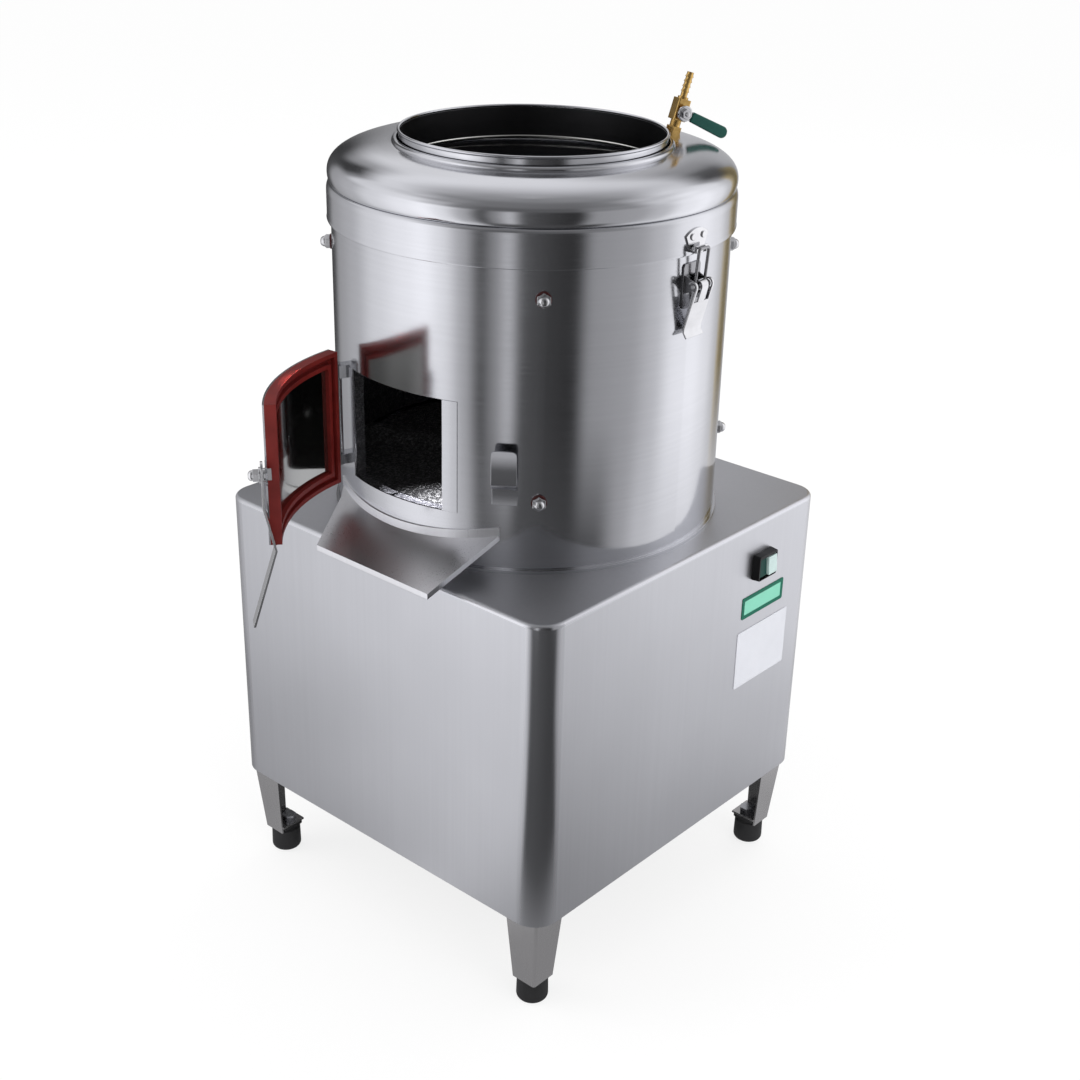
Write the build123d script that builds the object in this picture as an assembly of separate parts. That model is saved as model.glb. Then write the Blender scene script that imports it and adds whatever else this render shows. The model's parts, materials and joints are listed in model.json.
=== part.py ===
from build123d import *
import math
import os

# Floor-standing potato peeler machine, in millimetres. +Z is up, the front is -Y and the right is +X.
# The origin is on the floor, under the centre of the round peeling drum.

# Clearances and cuts
overrun = 5.0
seat = 0.05
running_fit = 0.05
moving_gap = 0.3

# Base cabinet
cabinet_side = 422.0
cabinet_bottom = 106.0
cabinet_height = 313.0
cabinet_corner = 26.0
cabinet_top_round = 4.0
cabinet_sheet = 1.5
cabinet_flange = 30.0
cabinet_top = cabinet_bottom + cabinet_height
cabinet_half = cabinet_side / 2
cabinet_inside = cabinet_half - cabinet_sheet

# Legs and feet
leg_sheet = 2.0
leg_low = 26.0
leg_low_inset = 15.5
leg_high_inset = 9.0
leg_low_width = 27.0
leg_high_width = 38.0
leg_bend = 3.0
leg_plate_side = 44.0
leg_sole_side = 28.0
leg_weld = 1.0
foot_side = 31.0
foot_corner = 8.0
foot_height = 32.0
foot_edge = 5.0
foot_inset = leg_low_inset + leg_sheet + moving_gap + foot_side / 2
foot_place = cabinet_half - foot_inset

# Frame bolts: hexagon head, all alike
bolt_radius = 4.0
bolt_head_across = 13.0
bolt_head_height = 5.5
bolt_length = 15.5
bolt_hole = bolt_radius + seat

# Peeling drum
drum_radius = 185.0
drum_sheet = 1.5
drum_height = 310.5
drum_rim_bead = 1.5
drum_rim_bead_height = 3.0
drum_base_ring = 3.0
drum_floor_sheet = 2.0
drum_inner = drum_radius - drum_sheet
drum_top = cabinet_top + drum_height
drum_floor_top = cabinet_top + drum_floor_sheet

# Discharge opening in the drum, with a strip down each side
opening_angle = -90.0
opening_half_angle = 17.8
opening_sill = 53.0
opening_height = 104.5
opening_low = cabinet_top + opening_sill
opening_high = opening_low + opening_height
jamb_angle = 4.5
jamb_sheet = 0.6

# Abrasive liner panels and their screws
liner_gap = 0.3
liner_thickness = 8.7
liner_above_floor = 42.0
liner_height = 249.0
liner_joint_angle = 1.0
liner_outer = drum_inner - liner_gap
liner_inner = liner_outer - liner_thickness
liner_low = drum_floor_top + liner_above_floor
liner_high = liner_low + liner_height
liner_screw_radius = 3.0
liner_screw_head_radius = 6.5
liner_screw_head_depth = 2.5
liner_screw_up_low = 25.0
liner_screw_up_high = 209.0
liner_screw_hole = liner_screw_radius + seat
liner_washer_radius = 7.0
liner_washer_sheet = 1.5
dome_nut_across = 10.0
dome_nut_height = 5.0
dome_nut_cap_radius = 4.4
dome_nut_cap_height = 4.0
dome_nut_round = 3.0

# Discharge chute
chute_sheet = 1.5
chute_slope = 20.0
chute_root_height = 24.5
chute_reach = 51.5
chute_left_angle = -118.4
chute_right_angle = -55.5
chute_front_left = 45.0
chute_front_right = 98.0
chute_kink_left = 75.0
chute_kink_back = 6.0
chute_lip = 5.0
chute_upstand = 7.5
chute_upstand_sheet = 1.2
chute_root = cabinet_top + chute_root_height

# Catch that holds the door lever
catch_angle = -54.3
catch_width = 22.5
catch_sheet = 1.5
catch_low = 66.0
catch_tab = 15.0
catch_rise = 8.0
catch_reach = 22.0
catch_height = 54.0
catch_corner = 4.0

# Discharge door, drawn closed and then swung open
door_sheet = 1.5
door_outer_gap = 11.0
door_start_angle = -109.8
door_end_angle = -64.6
door_low = 47.5
door_height = 127.0
door_swing_angle = 65.35
seal_gap = 1.2
seal_width = 13.0
seal_lip = 4.0
seal_groove_depth = 4.8
door_pan_gap = 0.2
door_pan_sheet = 1.2
door_pan_depth = 5.8
door_inner_radius = drum_radius + door_outer_gap
door_outer_radius = door_inner_radius + door_sheet
door_bottom = cabinet_top + door_low
door_top = door_bottom + door_height

# Door hinge
hinge_angle = -112.1
hinge_offset = 9.3
hinge_pin_radius = 2.5
hinge_barrel_radius = 4.0
hinge_barrel_low = 26.5
hinge_barrel_height = 72.0
hinge_lug_gap = 1.0
hinge_lug_low_height = 10.0
hinge_lug_high_height = 12.0
hinge_lug_radius = 5.5
hinge_pin_head = 3.5
hinge_pin_head_height = 1.8
hinge_radius = drum_radius + hinge_offset
hinge_barrel_bottom = door_bottom + hinge_barrel_low
hinge_barrel_top = hinge_barrel_bottom + hinge_barrel_height
hinge_x = hinge_radius * math.cos(math.radians(hinge_angle))
hinge_y = hinge_radius * math.sin(math.radians(hinge_angle))

# Lever on the door and the bolt that it turns on
lever_angle = -62.0
lever_height = 68.5
lever_sheet = 2.0
lever_width = 16.0
lever_above = 12.0
lever_flat = 28.0
lever_inward_drop = 39.0
lever_inward = 8.7
lever_outward_drop = 71.0
lever_outward = 21.6
lever_tab_back = 10.5
lever_tab_radius = 9.0
lever_bolt_radius = 3.0
lever_bolt_head_across = 10.0
lever_bolt_head_height = 3.5
lever_spacer_radius = 6.0
lever_spacer_height = 1.7
lever_washer_radius = 7.0
lever_washer_sheet = 1.2
lever_pivot_z = door_bottom + lever_height
lever_inner = door_outer_radius + lever_spacer_height + moving_gap
lever_outer = lever_inner + lever_sheet

# Lid: skirt, dome and feed neck
lid_sheet = 1.2
lid_clearance = 2.3
lid_skirt_height = 34.0
lid_skirt_drop = 32.0
lid_bead = 0.9
lid_seat_gap = 0.3
lid_seat_width = 4.7
lid_dome_height = 32.0
lid_dome_flat = 7.5
lid_dome_side_share = 0.72
lid_dome_crown_share = 0.6
lid_radius = drum_radius + lid_clearance + lid_sheet
lid_inner = lid_radius - lid_sheet
lid_skirt_bottom = drum_top - lid_skirt_drop
lid_seam = lid_skirt_bottom + lid_skirt_height
lid_dome_top = lid_seam + lid_dome_height
neck_inset = 67.5
neck_sheet = 1.5
neck_rim = 2.5
neck_rise = 11.5
neck_drop = 18.5
neck_collar_outer = 6.5
neck_collar_inner = 4.5
neck_collar_height = 2.8
neck_bore = lid_radius - neck_inset
neck_outer = neck_bore + neck_sheet
neck_rim_z = lid_dome_top + neck_rise
lid_dome_flat_radius = neck_outer + lid_dome_flat

# Toggle latches at the two sides: base on the drum, lever, wire loop, striker on the lid
latch_sheet = 1.5
latch_half_width = 12.0
latch_below_rim = 79.5
latch_base_height = 40.0
latch_ear_inner = 8.5
latch_slot_down = 14.0
latch_ear_sheet = 1.5
latch_ear_radius = 6.0
latch_ear_root = 10.0
latch_pivot_out = 11.0
latch_pivot_up = 22.0
latch_pin_radius = 2.0
latch_pin_fit = 0.1
latch_cheek_radius = 5.5
latch_lever_half = 12.5
latch_lever_top_out = 5.0
latch_lever_top_up = 4.0
latch_lever_tip_in = 7.0
latch_lever_tip_down = 41.0
latch_curl_out = 3.5
latch_curl_down = 6.0
loop_pivot_in = 2.0
loop_pivot_down = 8.0
loop_wire = 1.4
loop_fit = 0.1
loop_half_width = 6.8
loop_bend = 2.2
loop_saddle_wall = 1.1
loop_saddle_half = 4.4
loop_bar_out = 3.2
loop_bar_up = 40.5
striker_sheet = 1.5
striker_half_top = 15.5
striker_half_low = 10.0
striker_low = 5.5
striker_wide = 17.5
striker_crown = 6.0
striker_hook_half = 8.0
striker_hook_low = 2.5
striker_hook_out = 6.5
striker_hook_height = 6.0
rivet_radius = 3.0
rivet_height = 1.3
rivet_spread = 7.3
rivet_up = 16.5
latch_base_low = drum_top - latch_below_rim
latch_pivot_x = drum_radius + latch_pivot_out
latch_pivot_z = latch_base_low + latch_pivot_up
loop_pivot_x = latch_pivot_x - loop_pivot_in
loop_pivot_z = latch_pivot_z - loop_pivot_down

# Water valve on the lid: the axis leans outward from a seat on the dome
valve_angle = 65.0
valve_inset = 46.5
valve_lean = 16.0
valve_bung_radius = 9.0
valve_bung_depth = 8.0
valve_nut_across = 14.0
valve_nut_height = 8.0
valve_neck_radius = 5.0
valve_neck_height = 6.0
valve_body_side = 13.0
valve_body_height = 20.0
valve_body_round = 1.5
valve_stem_up = 8.0
valve_stem_radius = 2.5
valve_stem_depth = 4.0
valve_gland_radius = 5.0
valve_gland_height = 4.2
valve_cap_across = 8.0
valve_cap_height = 3.0
barb_radius = 3.2
barb_gap = 2.0
barb_length = 23.0
barb_ring = 0.9
barb_count = 4
nozzle_radius = 6.0
nozzle_depth = 16.0
nozzle_tip_radius = 3.0
nozzle_tip_depth = 7.0
nozzle_thread_radius = 3.5
handle_width = 8.0
handle_sheet = 1.2
handle_droop = 17.0
handle_length = 47.0
grip_length = 30.0
grip_width = 9.5
grip_thickness = 4.5
grip_round = 1.5
valve_radius = lid_radius - valve_inset

# Rotor: bearing housing, shaft, abrasive disc and driven pulley
housing_flange_radius = 72.0
housing_flange_height = 12.0
housing_collar_radius = 30.0
housing_collar_height = 17.0
housing_body_radius = 40.0
housing_length = 101.0
housing_relief_radius = 20.0
housing_rib_sheet = 8.0
housing_rib_edge = 6.0
housing_rib_share = 2 / 3
housing_rib_drop = 45.0
housing_bolt_circle = 58.0
bearing_radius = 26.0
bearing_width = 15.0
bearing_upper_drop = 34.0
bearing_lower_rise = 18.0
bearing_race = 5.0
bearing_recess = 1.0
seal_ring_height = 8.0
seal_ring_depth = 1.0
shaft_radius = 12.5
shaft_step_radius = 10.0
shaft_thread_radius = 8.0
shaft_drop = 193.0
hub_radius = 24.0
hub_height = 10.0
hub_gap = 2.0
slinger_radius = 35.0
slinger_sheet = 2.5
carrier_gap = 6.5
carrier_sheet = 4.0
sweeper_sheet = 4.0
sweeper_tip_inset = 8.0
sweeper_gap = 3.0
disc_thickness = 10.0
disc_bore = 20.0
disc_hump_height = 14.0
disc_hump_inner = 28.0
disc_hump_inset = 12.0
disc_hump_root_share = 0.45
disc_hump_count = 3
disc_nut_radius = 18.0
disc_nut_height = 13.0
disc_nut_round = 8.0
pulley_drop = 187.0
pulley_width = 16.0
pulley_gap = 15.0
pulley_land = 4.0
pulley_rim = 10.0
pulley_web = 6.0
pulley_hub_radius = 22.0
pulley_hub_length = 32.0
pulley_hub_inset = 4.0
pulley_hole_share = 17 / 60
pulley_hole_count = 5
shaft_low = cabinet_top - shaft_drop
pulley_low = cabinet_top - pulley_drop
carrier_radius = liner_inner - carrier_gap
sweeper_tip = carrier_radius - sweeper_tip_inset
disc_hump_outer = carrier_radius - disc_hump_inset
upper_bearing_low = cabinet_top - bearing_upper_drop
lower_bearing_high = cabinet_top - housing_length + bearing_lower_rise
hub_low = cabinet_top + housing_collar_height + hub_gap
disc_low = hub_low + hub_height + carrier_sheet

# Motor beside the shaft, and the belt
motor_wall_gap = 76.5
motor_pulley_pitch = 26.0
motor_pulley_hub = 14.0
motor_pulley_hub_height = 8.0
motor_shaft_radius = 7.0
motor_shaft_depth = 38.0
motor_flange_radius = 62.0
motor_flange_height = 8.0
motor_bolt_circle = 56.0
motor_body_radius = 50.0
motor_fin_height = 7.0
motor_fin_sheet = 3.0
motor_fin_count = 20
motor_body_height = 112.0
motor_bell_height = 16.0
motor_bell_round = 7.0
motor_plate_drop = 161.0
motor_plate_sheet = 4.0
motor_plate_side_gap = 14.5
motor_plate_front_gap = 33.0
motor_plate_back_gap = 9.5
motor_plate_hole = 34.0
rail_width = 25.0
rail_sheet = 3.0
rail_beyond_plate = 10.0
rail_corner_gap = 26.5
terminal_width = 54.0
terminal_depth = 26.0
terminal_height = 44.0
terminal_up = 30.0
terminal_round = 4.0
belt_top = 10.0
belt_bottom = 6.0
belt_above_pitch = 2.5
belt_below_pitch = 3.5
belt_side_gap = 0.35
belt_floor_gap = 1.0
motor_offset = cabinet_inside - motor_wall_gap
motor_bell_radius = motor_body_radius + motor_fin_height
pulley_pitch = motor_offset - motor_pulley_pitch - pulley_gap
motor_plate_low = cabinet_top - motor_plate_drop
motor_plate_half = cabinet_inside - motor_plate_side_gap
motor_plate_front = pulley_hub_radius + motor_plate_front_gap
motor_plate_back = cabinet_inside - motor_plate_back_gap
rail_front = motor_plate_front - rail_beyond_plate
rail_back = cabinet_inside - rail_corner_gap

# Drain, switch and cable gland
drain_radius = 19.0
drain_sheet = 1.5
drain_up = 22.5
drain_beyond = 34.0
drain_collar_radius = 21.5
drain_collar_width = 5.0
switch_inset = 99.0
switch_drop = 47.0
switch_side = 34.0
switch_depth = 9.0
switch_round = 2.0
switch_window_width = 22.0
switch_window_height = 26.0
switch_cutout = 27.0
switch_body_gap = 0.3
switch_body_depth = 24.0
switch_pocket_depth = 5.0
rocker_pivot_out = 3.0
rocker_half_height = 12.2
rocker_side_gap = 0.3
rocker_crown = 3.0
rocker_back = 2.0
rocker_tilt = 10.0
rocker_pin_radius = 1.2
rocker_pin_depth = 1.5
gland_inset = 81.0
gland_up = 44.0
gland_radius = 9.0
gland_bore = 4.0
gland_nut_across = 22.0
gland_nut_height = 6.0
gland_cap_height = 12.0
drain_end = cabinet_half + drain_beyond
switch_y = cabinet_half - switch_inset
switch_z = cabinet_top - switch_drop
gland_x = gland_inset - cabinet_half
gland_z = cabinet_bottom + gland_up

upright = (Align.CENTER, Align.CENTER, Align.MIN)


# Shapes that several pieces are made of


def disc(radius, low, high):
    return Pos(0, 0, low) * Cylinder(radius, high - low, align=upright)


def ring(inner, outer, low, high):
    return disc(outer, low, high) - disc(inner, low - overrun, high + overrun)


def block(left, right, front, back, low, high):
    middle = Pos((left + right) / 2, (front + back) / 2, (low + high) / 2)
    return middle * Box(right - left, back - front, high - low)


def hexagon(across, low, high):
    return extrude(Pos(0, 0, low) * RegularPolygon(across / 2, 6, major_radius=False), high - low)


def rounded_post(side, corner, low, high):
    return extrude(Pos(0, 0, low) * RectangleRounded(side, side, corner), high - low)


def lathe(*points):
    return revolve(Plane.XZ * Polygon(*points, align=None), axis=Axis.Z)


def side_profile(*points):
    """A flat outline of (outward, up) points that stands on the X axis."""
    return Plane.XZ * Polygon(*points, align=None)


def side_disc(radius, outward, up):
    return Plane.XZ * (Pos(outward, up) * Circle(radius))


def curved_plate(inner, outer, low, high, start, end):
    section = Pos((inner + outer) / 2, (low + high) / 2) * Rectangle(outer - inner, high - low)
    return Rot(0, 0, start) * revolve(Plane.XZ * section, axis=Axis.Z, revolution_arc=end - start)


def arc_angle(length, radius):
    return math.degrees(length / radius)


def round_edges(shape, axis_side, radius):
    """Rounds the edges of the lowest (0) or highest (-1) face."""
    return fillet(shape.faces().sort_by(Axis.Z)[axis_side].edges(), radius)


def pointing_out(angle, outward, up):
    """A place on the drum's wall whose +Z points outward."""
    return Rot(0, 0, angle) * Pos(outward, 0, up) * Rot(0, 90, 0)


def dome_nut():
    nut = hexagon(dome_nut_across, 0, dome_nut_height)
    cap = disc(dome_nut_cap_radius, 0, dome_nut_height + dome_nut_cap_height)
    return nut + round_edges(cap, -1, dome_nut_round)


def hex_bolt():
    """Head below the origin, shank upward."""
    return hexagon(bolt_head_across, -bolt_head_height, 0) + disc(bolt_radius, -seat, bolt_length)


def group(*shapes):
    return Compound([solid for shape in shapes for solid in shape.solids()])


def save(name, shape):
    export_step(shape, f"parts/{name}.step")


# Places that several pieces share


def housing_bolt_places():
    turns = [45 + quarter for quarter in range(0, 360, 90)]
    return [Rot(0, 0, turn) * Pos(housing_bolt_circle, 0, 0) for turn in turns]


def motor_bolt_places():
    turns = [45 + quarter for quarter in range(0, 360, 90)]
    return [Pos(0, motor_offset, 0) * Rot(0, 0, turn) * Pos(motor_bolt_circle, 0, 0) for turn in turns]


def liner_centres():
    return {"liner_front_right": -45, "liner_front_left": -135,
            "liner_rear_left": 135, "liner_rear_right": 45}


def liner_screw_places():
    heights = [liner_low + liner_screw_up_low, liner_low + liner_screw_up_high]
    return [(angle, height) for angle in liner_centres().values() for height in heights]


def valve_seat():
    """A place on the dome whose +Z is the valve's leaning axis."""
    out = Rot(0, 0, valve_angle) * Pos(valve_radius, 0, lid_dome_top)
    return out * Rot(0, valve_lean, 0)


def door_rest():
    """Swings a piece drawn on the closed door to where the open door stands."""
    return Pos(hinge_x, hinge_y, 0) * Rot(0, 0, -door_swing_angle) * Pos(-hinge_x, -hinge_y, 0)


# Base cabinet, legs and feet


def base_cabinet():
    outer = rounded_post(cabinet_side, cabinet_corner, cabinet_bottom, cabinet_top)
    outer = round_edges(outer, -1, cabinet_top_round)
    inner_corner, inner_top = cabinet_corner - cabinet_sheet, cabinet_top - cabinet_sheet
    inner = rounded_post(2 * cabinet_inside, inner_corner, cabinet_bottom - overrun, inner_top)
    inner = round_edges(inner, -1, cabinet_top_round - cabinet_sheet)
    flange_low, flange_high = cabinet_bottom, cabinet_bottom + cabinet_sheet
    flange = rounded_post(cabinet_side, cabinet_corner, flange_low, flange_high)
    hole_side = cabinet_side - 2 * cabinet_flange
    flange -= rounded_post(hole_side, cabinet_corner / 2, flange_low - overrun, flange_high + overrun)
    cabinet = outer - inner + flange
    cabinet -= disc(housing_collar_radius + moving_gap, cabinet_top - overrun, cabinet_top + overrun)
    for place in housing_bolt_places():
        cabinet -= place * disc(bolt_hole, cabinet_top - overrun, cabinet_top + overrun)
    half_cutout = switch_cutout / 2
    wall_left, wall_right = cabinet_inside - overrun, cabinet_half + overrun
    cutout = block(wall_left, wall_right, -half_cutout, half_cutout, -half_cutout, half_cutout)
    cabinet -= Pos(0, switch_y, switch_z) * cutout
    gland_hole = Rot(90, 0, 0) * disc(gland_radius + seat, -overrun, overrun)
    return cabinet - Pos(gland_x, cabinet_half, gland_z) * gland_hole


def angle_section(corner, width, height):
    inside = corner - leg_sheet
    outline = Polygon(
        (corner, corner), (corner - width, corner), (corner - width, inside),
        (inside, inside), (inside, corner - width), (corner, corner - width), align=None)
    return Pos(0, 0, height) * outline


def leg(turn):
    plate_low = cabinet_bottom - leg_sheet
    low_corner, high_corner = cabinet_half - leg_low_inset, cabinet_half - leg_high_inset
    angle = loft([angle_section(low_corner, leg_low_width, leg_low),
                  angle_section(high_corner, leg_high_width, plate_low)], ruled=True)
    outer_edge = max(angle.edges(), key=lambda edge: edge.center().X + edge.center().Y)
    angle = fillet(outer_edge, leg_bend)
    top_start = high_corner - leg_plate_side
    top_plate = block(top_start, high_corner, top_start, high_corner, plate_low, cabinet_bottom)
    sole_end = low_corner - leg_sheet + leg_weld
    sole_start = sole_end - leg_sole_side
    sole = block(sole_start, sole_end, sole_start, sole_end, foot_height, foot_height + leg_sheet)
    sole -= Pos(foot_place, foot_place, foot_height) * disc(bolt_hole, -overrun, overrun)
    return Rot(0, 0, turn) * (angle + top_plate + sole)


def foot(turn):
    pad = extrude(RectangleRounded(foot_side, foot_side, foot_corner), foot_height)
    pad = round_edges(pad, 0, foot_edge)
    pad -= disc(bolt_hole, foot_height - bolt_length, foot_height + overrun)
    return Rot(0, 0, turn) * (Pos(foot_place, foot_place, 0) * pad)


def frame_bolts():
    foot_bolt = Pos(foot_place, foot_place, foot_height + leg_sheet) * Rot(180, 0, 0) * hex_bolt()
    bolts = [Rot(0, 0, turn) * foot_bolt for turn in range(0, 360, 90)]
    housing_low = Pos(0, 0, drum_floor_top - bolt_length)
    bolts += [housing_low * place * hex_bolt() for place in housing_bolt_places()]
    motor_low = Pos(0, 0, motor_plate_low)
    bolts += [motor_low * place * hex_bolt() for place in motor_bolt_places()]
    return group(*bolts)


# Peeling drum, liner and what is fixed to the drum


def opening_space(inner, outer):
    start, end = opening_angle - opening_half_angle, opening_angle + opening_half_angle
    return curved_plate(inner, outer, opening_low, opening_high, start, end)


def drum_shell():
    shell = ring(drum_inner, drum_radius, cabinet_top, drum_top)
    rim = ring(drum_inner, drum_radius + drum_rim_bead, drum_top - drum_rim_bead_height, drum_top)
    base = ring(drum_inner, drum_radius + drum_base_ring, cabinet_top, cabinet_top + drum_base_ring)
    shell = shell + rim + base
    shell -= opening_space(drum_inner - overrun, drum_radius + overrun)
    drain_bore = disc(drain_radius - drain_sheet, drum_inner - overrun, drum_radius + overrun)
    shell -= Pos(0, 0, cabinet_top + drain_up) * Rot(-90, 0, 0) * drain_bore
    for angle, height in liner_screw_places():
        shell -= pointing_out(angle, drum_radius, height) * disc(liner_screw_hole, -overrun, overrun)
    return shell


def drum_floor():
    floor = ring(housing_collar_radius + moving_gap, drum_inner - seat, cabinet_top, drum_floor_top)
    for place in housing_bolt_places():
        floor -= place * disc(bolt_hole, cabinet_top - overrun, drum_floor_top + overrun)
    return floor


def opening_jambs():
    strips = []
    for side in (-1, 1):
        near = opening_angle + side * opening_half_angle
        far = near + side * jamb_angle
        start, end = min(near, far), max(near, far)
        outer = drum_radius + jamb_sheet
        strips.append(curved_plate(drum_radius, outer, opening_low, opening_high, start, end))
    return group(*strips)


def liner_panel(centre):
    half = 45 - liner_joint_angle / 2
    panel = curved_plate(liner_inner, liner_outer, liner_low, liner_high, centre - half, centre + half)
    panel -= opening_space(liner_inner - overrun, liner_outer + overrun)
    for angle, height in liner_screw_places():
        if angle == centre:
            place = pointing_out(angle, liner_inner, height)
            panel -= place * disc(liner_screw_hole, -overrun, liner_thickness + overrun)
            panel -= place * disc(liner_screw_head_radius + seat, -overrun, liner_screw_head_depth)
    return panel


def liner_bolts():
    screws = []
    nut_start = drum_radius + liner_washer_sheet - liner_inner
    for angle, height in liner_screw_places():
        head = disc(liner_screw_head_radius, seat, liner_screw_head_depth)
        screw = head + disc(liner_screw_radius, seat, nut_start)
        screws.append(pointing_out(angle, liner_inner, height) * screw)
        screws.append(pointing_out(angle, liner_inner + nut_start, height) * dome_nut())
    return group(*screws)


def liner_washers():
    washer = ring(liner_screw_hole, liner_washer_radius, 0, liner_washer_sheet)
    places = [pointing_out(angle, drum_radius, height) for angle, height in liner_screw_places()]
    return group(*[place * washer for place in places])


def chute_layer(below, above):
    """The space between two planes that lie along the chute's sloping top face."""
    reach = 2 * drum_radius
    layer = block(-reach, reach, -reach, reach, -below, above)
    return Pos(0, -drum_radius, chute_root) * Rot(chute_slope, 0, 0) * layer


def chute_outline(inset):
    front = -drum_radius - chute_reach
    left, right = math.radians(chute_left_angle), math.radians(chute_right_angle)
    points = [
        (drum_radius * math.cos(left), drum_radius * math.sin(left)),
        (-chute_kink_left, -drum_radius + chute_kink_back),
        (-chute_front_left, front),
        (chute_front_right, front),
        (drum_radius * math.cos(right), drum_radius * math.sin(right)),
    ]
    outline = make_face(Polyline(*points, close=True))
    if inset:
        outline = offset(outline, -inset, kind=Kind.INTERSECTION)
    return extrude(outline, drum_top)


def discharge_chute():
    tray = chute_outline(0) & chute_layer(chute_lip, 0)
    tray -= chute_outline(chute_sheet) & chute_layer(chute_lip + overrun, -chute_sheet)
    tray -= disc(drum_radius, 0, drum_top)
    inner, outer = drum_radius, drum_radius + chute_upstand_sheet
    upstand = curved_plate(inner, outer, cabinet_top, drum_top, chute_left_angle, chute_right_angle)
    return tray + (upstand & chute_layer(chute_sheet, chute_upstand))


def door_catch():
    low = cabinet_top + catch_low
    inner, outer = drum_radius, drum_radius + catch_reach
    bend, top = low + catch_tab, low + catch_height
    strip = side_profile(
        (inner, low), (inner + catch_sheet, low), (inner + catch_sheet, bend - catch_sheet),
        (outer + catch_sheet, bend + catch_rise - catch_sheet), (outer + catch_sheet, top),
        (outer, top), (outer, bend + catch_rise), (inner, bend))
    catch = extrude(strip, catch_width / 2, both=True)
    catch = fillet(catch.edges().filter_by(Axis.X).group_by(Axis.Z)[-1], catch_corner)
    return Rot(0, 0, catch_angle) * (catch - disc(drum_radius, 0, drum_top))


def door_hinge_brackets():
    lug_outline = Pos(hinge_radius, 0) * Circle(hinge_lug_radius)
    lug_outline += Pos(hinge_radius - hinge_offset, 0) * Rectangle(2 * hinge_offset, 2 * hinge_lug_radius)
    lug_outline -= Pos(hinge_radius, 0) * Circle(hinge_pin_radius + seat)
    lug = extrude(lug_outline, hinge_lug_low_height)
    high_lug = extrude(lug_outline, hinge_lug_high_height)
    low_start = hinge_barrel_bottom - hinge_lug_gap - hinge_lug_low_height
    high_start = hinge_barrel_top + hinge_lug_gap
    wall = disc(drum_radius, 0, drum_top)
    lugs = [Pos(0, 0, low_start) * lug - wall, Pos(0, 0, high_start) * high_lug - wall]
    strips = opening_jambs()
    return group(*[Rot(0, 0, hinge_angle) * piece - strips for piece in lugs])


def door_hinge_pin():
    low = hinge_barrel_bottom - hinge_lug_gap - hinge_lug_low_height
    high = hinge_barrel_top + hinge_lug_gap + hinge_lug_high_height
    pin = disc(hinge_pin_radius, low, high) + disc(hinge_pin_head, high, high + hinge_pin_head_height)
    pin += disc(hinge_pin_head, low - hinge_pin_head_height, low)
    return Pos(hinge_x, hinge_y, 0) * pin


# Discharge door


def door_layer(inner, outer, inset):
    """A curved plate that follows the closed door, drawn in on all sides by an inset."""
    inset_angle = arc_angle(inset, door_inner_radius)
    start, end = door_start_angle + inset_angle, door_end_angle - inset_angle
    return curved_plate(inner, outer, door_bottom + inset, door_top - inset, start, end)


def door_panel():
    panel = door_layer(door_inner_radius, door_outer_radius, 0)
    tab = Rectangle(2 * lever_tab_radius, lever_tab_back, align=(Align.CENTER, Align.MAX))
    tab_plate = extrude(tab + Circle(lever_tab_radius), door_sheet)
    bolt_hole_cut = disc(lever_bolt_radius + seat, -overrun, door_sheet + overrun)
    place = pointing_out(lever_angle, door_inner_radius, lever_pivot_z)
    panel += place * tab_plate
    return door_rest() * (panel - place * bolt_hole_cut)


def door_inner_panel():
    outer = door_inner_radius - door_pan_depth
    edge = seal_width + door_pan_gap
    pan = door_layer(outer, door_inner_radius, edge)
    pan -= door_layer(outer + door_pan_sheet, door_inner_radius + overrun, edge + door_pan_sheet)
    return door_rest() * pan


def door_seal():
    inner = drum_radius + seal_gap
    frame = door_layer(inner, door_inner_radius, 0)
    frame -= door_layer(inner - overrun, door_inner_radius + overrun, seal_width)
    groove_end = inner + seal_groove_depth
    groove = door_layer(inner - overrun, groove_end, seal_lip)
    groove -= door_layer(inner - overrun, groove_end + overrun, seal_width - seal_lip)
    return door_rest() * (frame - groove)


def door_hinge_barrel():
    low, high = hinge_barrel_bottom, hinge_barrel_top
    barrel = Pos(hinge_x, hinge_y, 0) * disc(hinge_barrel_radius, low, high)
    barrel += curved_plate(door_inner_radius, door_outer_radius, low, high, hinge_angle, door_start_angle)
    bore = disc(hinge_pin_radius + running_fit, low - overrun, high + overrun)
    return door_rest() * (barrel - Pos(hinge_x, hinge_y, 0) * bore)


def door_lever_bolt():
    spacer_high = door_sheet + lever_spacer_height
    washer_low = lever_outer - door_inner_radius + moving_gap
    washer_high = washer_low + lever_washer_sheet
    bolt = hexagon(lever_bolt_head_across, -lever_bolt_head_height, 0)
    bolt += disc(lever_bolt_radius, -seat, washer_high)
    spacer = ring(lever_bolt_radius + seat, lever_spacer_radius, door_sheet, spacer_high)
    washer = ring(lever_bolt_radius + seat, lever_washer_radius, washer_low, washer_high)
    nut = Pos(0, 0, washer_high) * dome_nut()
    place = pointing_out(lever_angle, door_inner_radius, lever_pivot_z)
    return door_rest() * group(*[place * piece for piece in (bolt, spacer, washer, nut)])


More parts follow.
